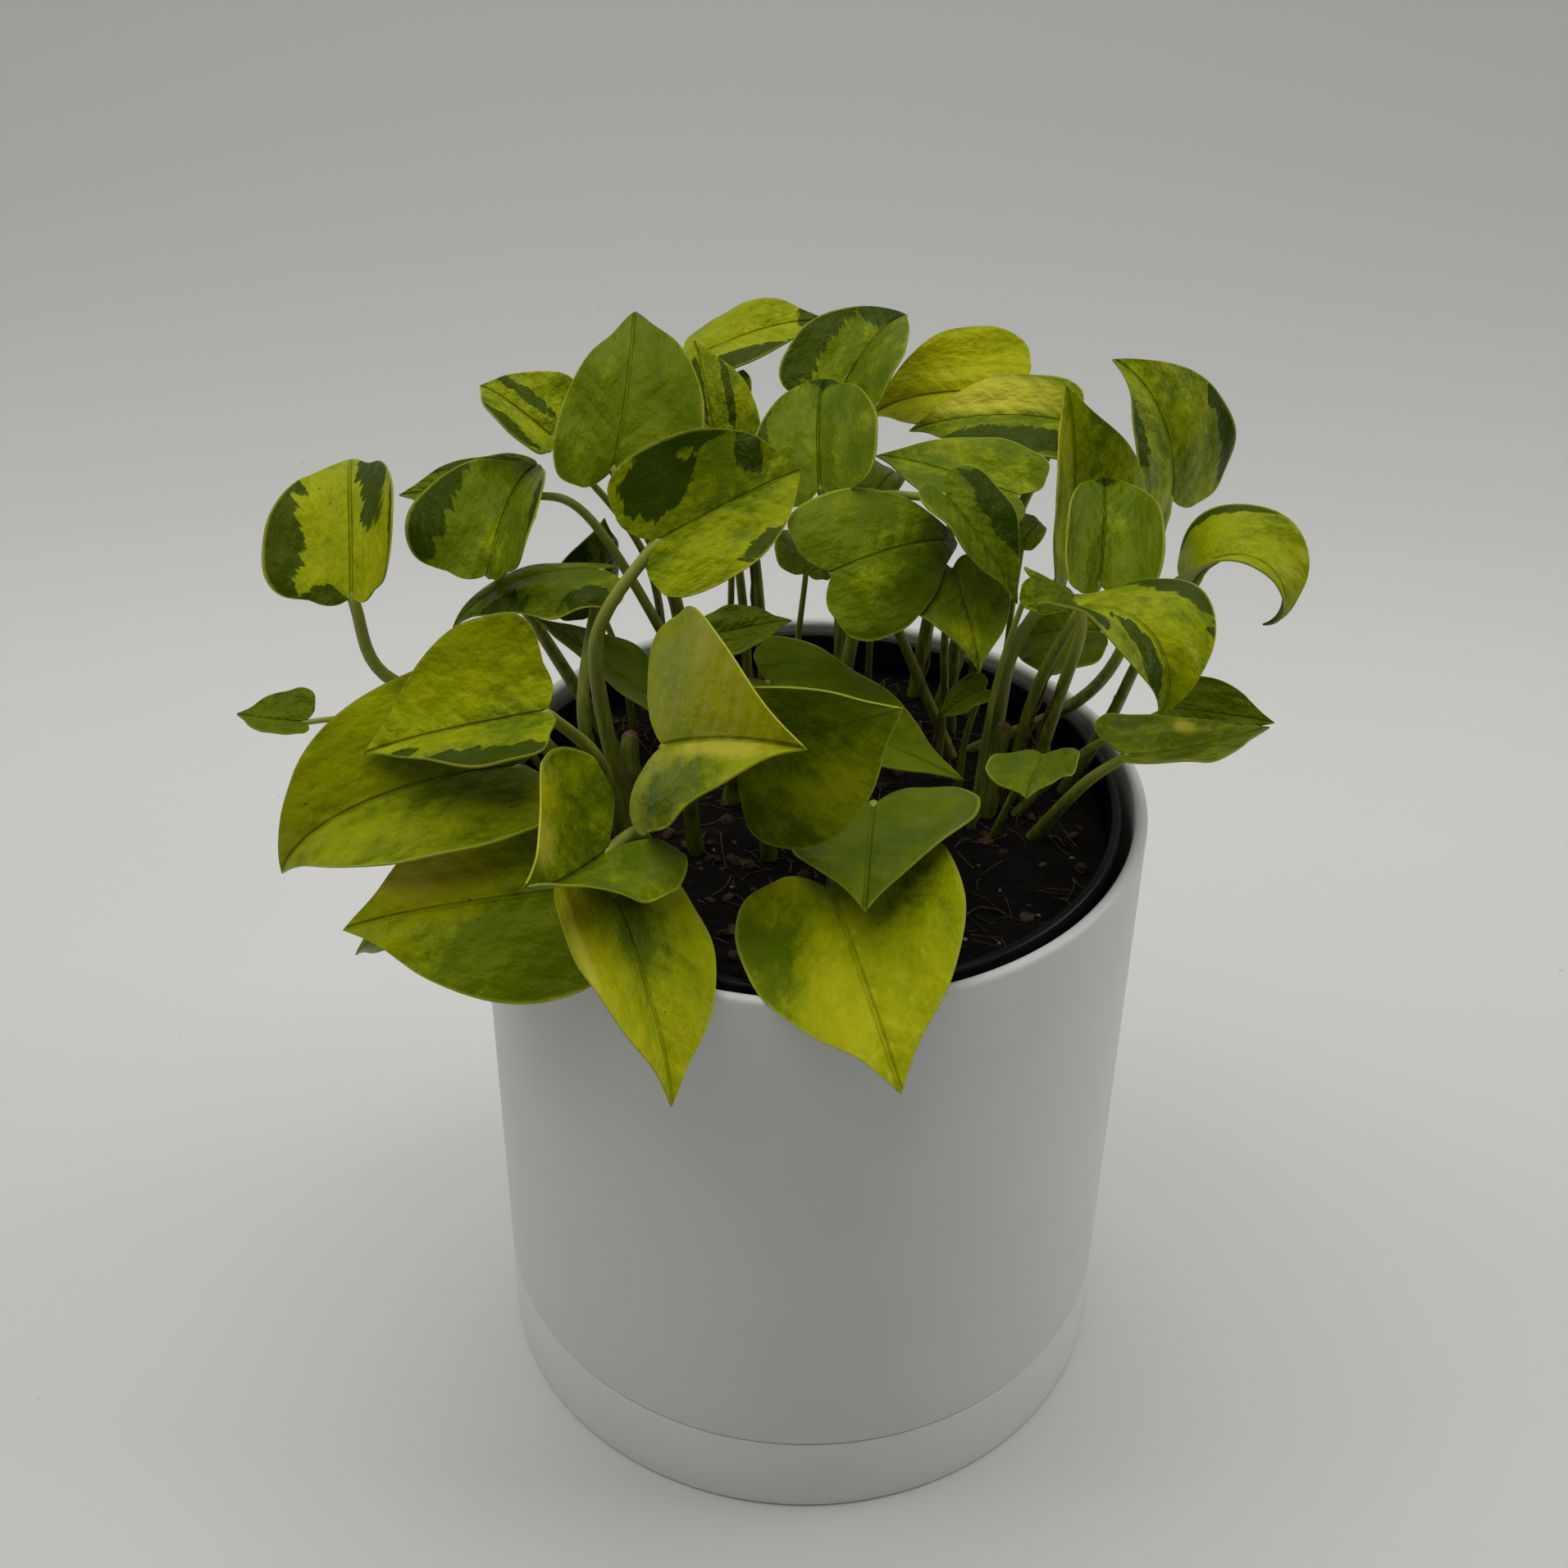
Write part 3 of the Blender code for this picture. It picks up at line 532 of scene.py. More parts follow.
def makePlanter(spec):
    outer = planterHigh.x
    top = planterHigh.z
    bottom = planterLow.z
    seam = saucerHigh.z + spec["seamGap"]
    bore = outer - spec["wall"]
    plug = outer - spec["plugIn"]
    # The two quarter rounds of the lip stop just short of meeting.
    lip = spec["lip"] - 0.01
    profile = [
        (spec["drain"], bottom + spec["floor"]),
        (plug - spec["plugWall"], bottom + spec["floor"]),
        (plug - spec["plugWall"], seam),
        (bore, seam + spec["wall"]),
        (bore, top - spec["loopBelowTop"]),
        *corner(bore + lip, top - lip, lip, 180, 90, 8),
        *corner(outer - lip, top - lip, lip, 90, 0, 8),
        (outer, top - spec["loopBelowTop"]),
        (outer, seam + spec["loopAboveSeam"]),
        *corner(outer - spec["seamRound"], seam + spec["seamRound"], spec["seamRound"], 0, -90, 4),
        (plug, seam),
        (plug, bottom),
        (spec["drain"], bottom),
    ]
    piece = spinProfile("planterShell", profile, spec["steps"], looks["planter"])
    declare(piece, "planter_white", "planter")


def makeSaucer(spec):
    outer = saucerHigh.x
    top = saucerHigh.z
    bore = outer - spec["wall"]
    floor = spec["saucerFloor"]
    lip = spec["saucerLip"]
    foot = spec["saucerRound"]
    profile = [
        (1, floor),
        (bore - 1, floor),
        (bore, floor + 1),
        *corner(bore + lip, top - lip, lip, 180, 90, 4),
        *corner(outer - lip, top - lip, lip, 90, 0, 4),
        (outer, floor + 1),
        *corner(outer - foot, foot, foot, 0, -90, 5),
        (1, 0),
    ]
    piece = spinProfile("saucerShell", profile, spec["steps"], looks["saucer"])
    declare(piece, "saucer_white", "planter_saucer")


# The nursery pot: a rolled rim over a collar, a thin tapering wall.
def makeNurseryPot(spec):
    rim = potHigh.x
    top = potHigh.z
    bottom = potLow.z
    mouth = rim - spec["mouthIn"]
    roll = spec["roll"]
    collar = top - spec["collar"]
    collarSide = rim - spec["collarIn"]
    wallTop = rim - spec["wallTopIn"]
    floor = bottom + spec["floor"]
    profile = [
        (spec["centreHole"], floor),
        (spec["baseRadius"] - spec["wall"], floor),
        (wallTop - spec["wall"], collar),
        (mouth, collar + 1.5),
        *corner(mouth + roll, top - roll, roll, 180, 90, 5),
        *corner(rim - roll, top - roll, roll, 90, 0, 5),
        (rim, top - spec["bead"] + 0.4),
        (collarSide, top - spec["bead"]),
        (collarSide, collar + 0.4),
        (collarSide - 0.4, collar),
        (wallTop, collar),
        (spec["baseRadius"], bottom),
        (spec["centreHole"], bottom),
    ]
    piece = spinProfile("nurseryPot", profile, spec["steps"], looks["pot"])
    declare(piece, "pot_black", "grower_pot")


makePlanter(potSpec)
makeSaucer(potSpec)
makeNurseryPot(nurserySpec)
print("pots made")


# Soil: a lumpy peat surface with bark, fibres and a little pale grit on it.
soilSpec = {"level": 162.0, "radius": 73.2, "depth": 6, "grid": 170, "fibres": 420, "fibreSteps": 5}
barkSpec = {"count": 210, "sizes": (0.9, 2.6), "flatness": 0.45, "rough": 0.35, "sunk": 0.12}
gritSpec = {"count": 60, "sizes": (0.35, 0.8), "flatness": 0.8, "rough": 0.35, "sunk": 0.12}


# Height in mm of the lumpy soil at a place in mm.
def soilHeight(x, y):
    away = min(1.0, math.hypot(x, y) / soilSpec["radius"])
    broad = noise.noise(Vector((x * 0.045, y * 0.045, 3.1)))
    lump = noise.noise(Vector((x * 0.16, y * 0.16, 9.7)))
    crumb = noise.noise(Vector((x * 0.55, y * 0.55, 5.2)))
    backLeft = 1.2 * max(0.0, (y - x) / 110)
    return soilSpec["level"] - 0.6 + 1.1 * (1 - away**2) + backLeft + broad * 1.6 + lump * 1.1 + crumb * 0.55


# A flat grid from -1 to 1 each way.
def addGrid(name, columns, rows):
    bpy.ops.mesh.primitive_grid_add(x_subdivisions=columns, y_subdivisions=rows, size=2)
    obj = bpy.context.active_object
    obj.name = name
    return obj


def placesOf(obj):
    flat = np.empty(len(obj.data.vertices) * 3)
    obj.data.vertices.foreach_get("co", flat)
    return flat.reshape(-1, 3)


def makeSoil(spec):
    obj = addGrid("peatSurface", spec["grid"], spec["grid"])
    flat = placesOf(obj)
    u, v = flat[:, 0], flat[:, 1]
    x = u * np.sqrt(1 - v * v / 2) * spec["radius"]
    y = v * np.sqrt(1 - u * u / 2) * spec["radius"]
    z = [soilHeight(a, b) for a, b in zip(x, y)]
    obj.data.vertices.foreach_set("co", (np.stack([x, y, z], -1) * mm).ravel())
    solid = obj.modifiers.new("depth", "SOLIDIFY")
    solid.thickness = spec["depth"] * mm
    solid.offset = -1
    applyModifier(obj, solid)
    smoothShade(obj, 60)
    obj.data.materials.append(looks["soil"])
    declare(obj, "soil_dark", "potting_soil")


def randomSpot(margin=3.0):
    r = (soilSpec["radius"] - margin) * math.sqrt(random.random())
    a = random.random() * 2 * math.pi
    return r * math.cos(a), r * math.sin(a)


# Broken chips: one rough lump shaped in edit mode, then copied, turned and resized on the soil.
def scatterChips(name, spec, material):
    bpy.ops.mesh.primitive_ico_sphere_add(subdivisions=2, radius=mm, location=(0, 0, 0))
    master = bpy.context.active_object
    bpy.ops.object.mode_set(mode="EDIT")
    bpy.ops.mesh.select_all(action="SELECT")
    bpy.ops.transform.vertex_random(offset=spec["rough"] * mm, uniform=0.4, seed=4)
    bpy.ops.object.mode_set(mode="OBJECT")
    made = []
    for _ in range(spec["count"]):
        x, y = randomSpot()
        size = random.uniform(*spec["sizes"])
        copy = master.copy()
        copy.data = master.data.copy()
        scene.collection.objects.link(copy)
        copy.location = (x * mm, y * mm, (soilHeight(x, y) + size * spec["sunk"]) * mm)
        tilt = random.uniform(-0.5, 0.5), random.uniform(-0.5, 0.5)
        copy.rotation_euler = (*tilt, random.uniform(0, 6.28))
        width = size * random.uniform(0.35, 0.8)
        copy.scale = (size, width, size * spec["flatness"] * random.uniform(0.6, 1.3))
        made.append(copy)
    bpy.data.objects.remove(master)
    piece = joinAll(made, name)
    bakeTransform(piece)
    piece.data.materials.append(material)
    smoothShade(piece, 30)
    declare(piece, "soil_dark")


# Round strands through the runs of (place in mm, radius in mm), as one mesh.
def tubeMesh(name, runs, material, sides=2):
    curve = bpy.data.curves.new(name, "CURVE")
    curve.dimensions = "3D"
    curve.bevel_depth = mm
    curve.bevel_resolution = sides
    curve.use_fill_caps = True
    for run in runs:
        spline = curve.splines.new("POLY")
        spline.points.add(len(run) - 1)
        for point, (place, radius) in zip(spline.points, run):
            point.co = (place[0] * mm, place[1] * mm, place[2] * mm, 1)
            point.radius = radius
    obj = bpy.data.objects.new(name, curve)
    scene.collection.objects.link(obj)
    onlySelect(obj)
    bpy.ops.object.convert(target="MESH")
    obj = bpy.context.active_object
    obj.data.shade_smooth()
    obj.data.materials.append(material)
    return obj


def scatterFibres(spec):
    runs = []
    steps = spec["fibreSteps"]
    for _ in range(spec["fibres"]):
        x, y = randomSpot(2.0)
        heading = random.uniform(0, 6.28)
        bend = random.uniform(-0.35, 0.35)
        length = random.uniform(3, 13)
        lift = random.choice((0.1, 0.2, 0.9, 1.6))
        radius = random.uniform(0.10, 0.24)
        run = []
        for j in range(steps + 1):
            rise = 0.25 + lift * math.sin(math.pi * j / steps)
            if math.hypot(x, y) < spec["radius"] - 0.6:
                run.append(((x, y, soilHeight(x, y) + rise), radius * (1 - 0.1 * j)))
            x += math.cos(heading) * length / steps
            y += math.sin(heading) * length / steps
            heading += bend
        if len(run) > 2:
            runs.append(run)
    piece = tubeMesh("soilFibres", runs, looks["fibre"], 0)
    declare(piece, "soil_dark")


makeSoil(soilSpec)
scatterChips("barkChips", barkSpec, looks["bark"])
scatterChips("paleGrit", gritSpec, looks["grit"])
scatterFibres(soilSpec)
print("soil made")


# The flat leaf, 1 long with a half width of 1: midrib place, margin out, margin along.
leafOutline = [
    (0.00, 0.42, -0.13),
    (0.07, 0.78, -0.10),
    (0.17, 0.96, 0.02),
    (0.31, 1.00, 0.21),
    (0.47, 0.91, 0.42),
    (0.66, 0.62, 0.65),
    (0.84, 0.24, 0.84),
    (1.00, 0.00, 1.00),
]
bladeSpec = {
    "columns": 26,
    "rows": 46,
    "thickness": 0.45,
    "usualLobe": 0.13,
    "rimAt": 173.0,
    "ripple": 0.8,
    "swell": 1.5,
    "furrow": 0.20,
}
stalkSpec = {"perLength": 0.042, "least": 0.9, "most": 1.9, "points": 26}


# The smooth curve through the rows, at t from 0 to 1.
def smoothRows(rows, t):
    rows = np.asarray(rows, float)
    padded = np.vstack([2 * rows[0] - rows[1], rows, 2 * rows[-1] - rows[-2]])
    at = np.clip(np.asarray(t, float), 0, 1) * (len(rows) - 1)
    i = np.minimum(at.astype(int), len(rows) - 2)
    w = (at - i)[:, None]
    a, b, c, d = padded[i], padded[i + 1], padded[i + 2], padded[i + 3]
    return 0.5 * (2 * b + (c - a) * w + (2 * a - 5 * b + 4 * c - d) * w**2 + (3 * b - a - 3 * c + d) * w**3)


def runningSum(values, step, along):
    total = np.concatenate([[0], np.cumsum((values[1:] + values[:-1]) / 2) * step])
    return total - np.interp(0, along, total)


# Unit vectors to the leaf's right, along its midrib, and out of its upper face.
def leafAxes(heading, rise, roll):
    heading, rise, roll = np.radians([heading, rise, roll])
    ahead = np.array([np.sin(heading) * np.cos(rise), np.cos(heading) * np.cos(rise), np.sin(rise)])
    side = np.array([np.cos(heading), -np.sin(heading), 0])
    out = np.cross(side, ahead)
    return side * np.cos(roll) + out * np.sin(roll), ahead, out * np.cos(roll) - side * np.sin(roll)


# Places in mm of the blade's surface, u from -1 to 1 across and t from 0 to 1 along, and its flat places.
def bladeSurface(leaf, u, t, seed=0.0):
    length, left, right = leaf["size"]
    rows = smoothRows(leafOutline, t)
    across = np.abs(u)
    back = (1 - t) * (1 - (1 - across) ** 2) + t * across**1.3
    flatX = u * np.maximum(rows[:, 1], 0)
    flatY = rows[:, 0] + (rows[:, 2] - rows[:, 0]) * back
    reach = np.clip(1 - flatY / 0.45, 0, 1.5) ** 2 * np.minimum(np.abs(flatX) * 2.2, 1)
    flatY = flatY - (leaf.get("lobe", bladeSpec["usualLobe"]) - bladeSpec["usualLobe"]) * 0.75 * reach
    half = np.where(flatX < 0, left, right)
    along = np.linspace(-0.25, 1.05, 80)
    step = (along[1] - along[0]) * length
    inside = np.clip(along, 0, 1)
    spread, gathered = leaf["droop"]
    dip = np.radians(spread * inside + gathered * inside**4)
    sway = np.radians(leaf.get("sway", 0) * inside)
    rib = [
        runningSum(np.cos(dip) * np.sin(sway), step, along),
        runningSum(np.cos(dip) * np.cos(sway), step, along),
        runningSum(-np.sin(dip), step, along),
    ]
    place = np.stack([np.interp(flatY, along, values) for values in rib], -1)
    dip = np.interp(flatY, along, dip)
    sway = np.interp(flatY, along, sway)
    isLeft = flatX < 0
    fold = np.where(isLeft, leaf["fold"][0], leaf["fold"][1])
    fold = np.radians(fold + leaf.get("tip_fold", 5) * np.clip(flatY, 0, 1))
    curls = leaf.get("curl", (0, 0))
    bend = np.radians(np.where(isLeft, curls[0], curls[1])) / half
    bend = np.where(np.abs(bend) < 1e-9, 1e-9, bend)
    reach = np.abs(flatX) * half
    sideways = np.sign(flatX) * (np.sin(fold + bend * reach) - np.sin(fold)) / bend
    upward = (np.cos(fold) - np.cos(fold + bend * reach)) / bend
    # A real blade isn't even: soft swells between the ribs, a furrow at the midrib, a wandering margin.
    size = math.sqrt(length / 40)
    ripple = np.sin(flatY * 15 + np.sign(flatX) * 1.1 + seed) * 0.55 + np.sin(flatY * 7.3 + seed * 2.1) * 0.5
    upward = upward + ripple * np.abs(flatX) ** 2.2 * bladeSpec["ripple"] * size
    swell = np.array([noise.noise(Vector((x * 1.9, y * 2.6, seed))) for x, y in zip(flatX, flatY)])
    upward = upward + swell * bladeSpec["swell"] * size * np.minimum(np.abs(flatX) * 3, 1)
    furrow = np.exp(-((flatX / 0.05) ** 2)) * (1 - np.clip(flatY, 0, 1) * 0.7)
    upward = upward - bladeSpec["furrow"] * size * furrow
    twist = np.radians(leaf.get("twist", 0)) * np.clip(flatY, 0, 1)
    turnedX = sideways * np.cos(twist) - upward * np.sin(twist)
    turnedZ = sideways * np.sin(twist) + upward * np.cos(twist)
    ribWay = np.stack([np.cos(dip) * np.sin(sway), np.cos(dip) * np.cos(sway), -np.sin(dip)], -1)
    sideWay = np.stack([np.cos(sway), -np.sin(sway), 0 * sway], -1)
    local = place + turnedX[:, None] * sideWay + turnedZ[:, None] * np.cross(sideWay, ribWay)
    joint = np.array(leaf["joint"], float) + np.array([0, 0, bladeSpec["rimAt"]])
    return local @ np.stack(leafAxes(*leaf["aim"])) + joint, flatX, flatY


# How far inside the nearest patch (x, y, reach across, reach along) each flat place is.
def field(patches, x, y, base):
    value = np.full(len(x), base)
    for px, py, rx, ry in patches:
        value = np.maximum(value, 1 - np.sqrt(((x - px) / rx) ** 2 + ((y - py) / ry) ** 2))
    return value


# The sum of soft patches (x, y, reach across, reach along, strength).
def lift(patches, x, y):
    total = np.zeros(len(x))
    for px, py, rx, ry, strength in patches:
        total += strength * np.exp(-(((x - px) / rx) ** 2 + ((y - py) / ry) ** 2))
    return total


def addAttribute(mesh, name, values):
    kind, key = ("FLOAT", "value") if values.ndim == 1 else ("FLOAT_VECTOR", "vector")
    attribute = mesh.attributes.new(name, kind, "POINT")
    attribute.data.foreach_set(key, values.astype(np.float32).ravel())


def makeBlade(leaf, name, seed):
    spec = bladeSpec
    obj = addGrid(name, spec["columns"], spec["rows"])
    flat = placesOf(obj)
    u, t = flat[:, 0], (flat[:, 1] + 1) / 2
    places, x, y = bladeSurface(leaf, u, t, seed)
    obj.data.vertices.foreach_set("co", (places * mm).ravel())
    look = leaf["look"]
    deep = field(look.get("deep", ()), x, y, -1.2)
    cream = field(look.get("cream", ()), x, y, -1.2)
    bright = look.get("tone", 0.0) + lift(look.get("lift", ()), x, y)
    edge = np.maximum(np.abs(u), np.where(t > 0.9, t * np.abs(u) ** 0.1, 0))
    edge = np.maximum(edge, np.where(t < 0.02, 1.0, 0))
    addAttribute(obj.data, "leafPlace", np.stack([x, y, edge], -1))
    addAttribute(obj.data, "leafTone", np.stack([deep, bright, cream], -1))
    addAttribute(obj.data, "leafSeed", np.full(len(x), seed))
    bm = bmesh.new()
    bm.from_mesh(obj.data)
    bmesh.ops.remove_doubles(bm, verts=bm.verts, dist=0.00002)
    bm.to_mesh(obj.data)
    bm.free()
    obj.data.materials.append(looks["leaf"])
    obj.data.materials.append(looks["leafUnder"])
    solid = obj.modifiers.new("thickness", "SOLIDIFY")
    solid.thickness = spec["thickness"] * mm
    solid.offset = 0
    solid.material_offset = 1
    solid.material_offset_rim = 0
    applyModifier(obj, solid)
    smoothShade(obj, 50)
    return obj


def stalkPath(leaf):
    spec = stalkSpec
    radius = min(max(spec["perLength"] * leaf["size"][0], spec["least"]), spec["most"])
    rim = np.array([0, 0, bladeSpec["rimAt"]])
    foot = np.array([*leaf["foot"], soilHeight(*leaf["foot"]) - 2.5])
    joint = np.array(leaf["joint"], float) + rim
    through = [foot, *[np.array(p, float) + rim for p in leaf["via"]], joint]
    fine = smoothRows(through, np.linspace(0, 1, spec["points"]))
    ribs = np.array([0.06, 0.14, 0.24, 0.36, 0.5])
    under, _, _ = bladeSurface(leaf, ribs * 0, ribs)
    out = np.array(leafAxes(*leaf["aim"])[2])
    path = list(fine[:-1]) + [fine[-1] - out * radius * 0.45]
    radii = [radius * (1.25 - 0.50 * (k / (len(path) - 1)) ** 0.6) for k in range(len(path))]
    for k, place in enumerate(under):
        share = (k + 1) / len(ribs)
        path.append(place - out * radius * (0.55 - 0.45 * share))
        radii.append(radius * (0.68 - 0.56 * share))
    return path, radii, radius


def makeStalk(leaf, name):
    path, radii, _ = stalkPath(leaf)
    stalk = tubeMesh(name, [list(zip(path, radii))], looks["stalk"], 3)
    heights = placesOf(stalk)[:, 2] / mm
    share = (heights - path[0][2]) / max(5.0, path[stalkSpec["points"] - 1][2] - path[0][2])
    addAttribute(stalk.data, "leafTone", np.stack([np.clip(share, 0, 1)] * 3, -1))
    return stalk


def makeLeaf(number, leaf):
    seed = number * 1.73 % 11
    blade = makeBlade(leaf, f"blade{number}", seed)
    stalk = makeStalk(leaf, f"stalk{number}")
    piece = joinAll([blade, stalk], f"pothosLeaf{number:02d}")
    declare(piece, "leaf_green", f"leaf_{number:02d}")


# The dry papery sheath that stays along one side of an old stalk.
def makeSheath(number, leaf, share, side):
    path, _, radius = stalkPath(leaf)
    count = max(4, int(stalkSpec["points"] * share))
    run = []
    for k in range(count):
        place = np.array(path[k + 1], float)
        turn = side + 0.25 * k
        wander = 0.35 * math.sin(k * 2.3 + number)
        offset = np.array([math.cos(turn), math.sin(turn), 0]) * (radius * 1.02 + 0.15)
        width = (0.75 + wander) * (1 - (k / (count - 1)) ** 2 * 0.75)
        run.append((place + offset, max(0.22, width)))
    return run
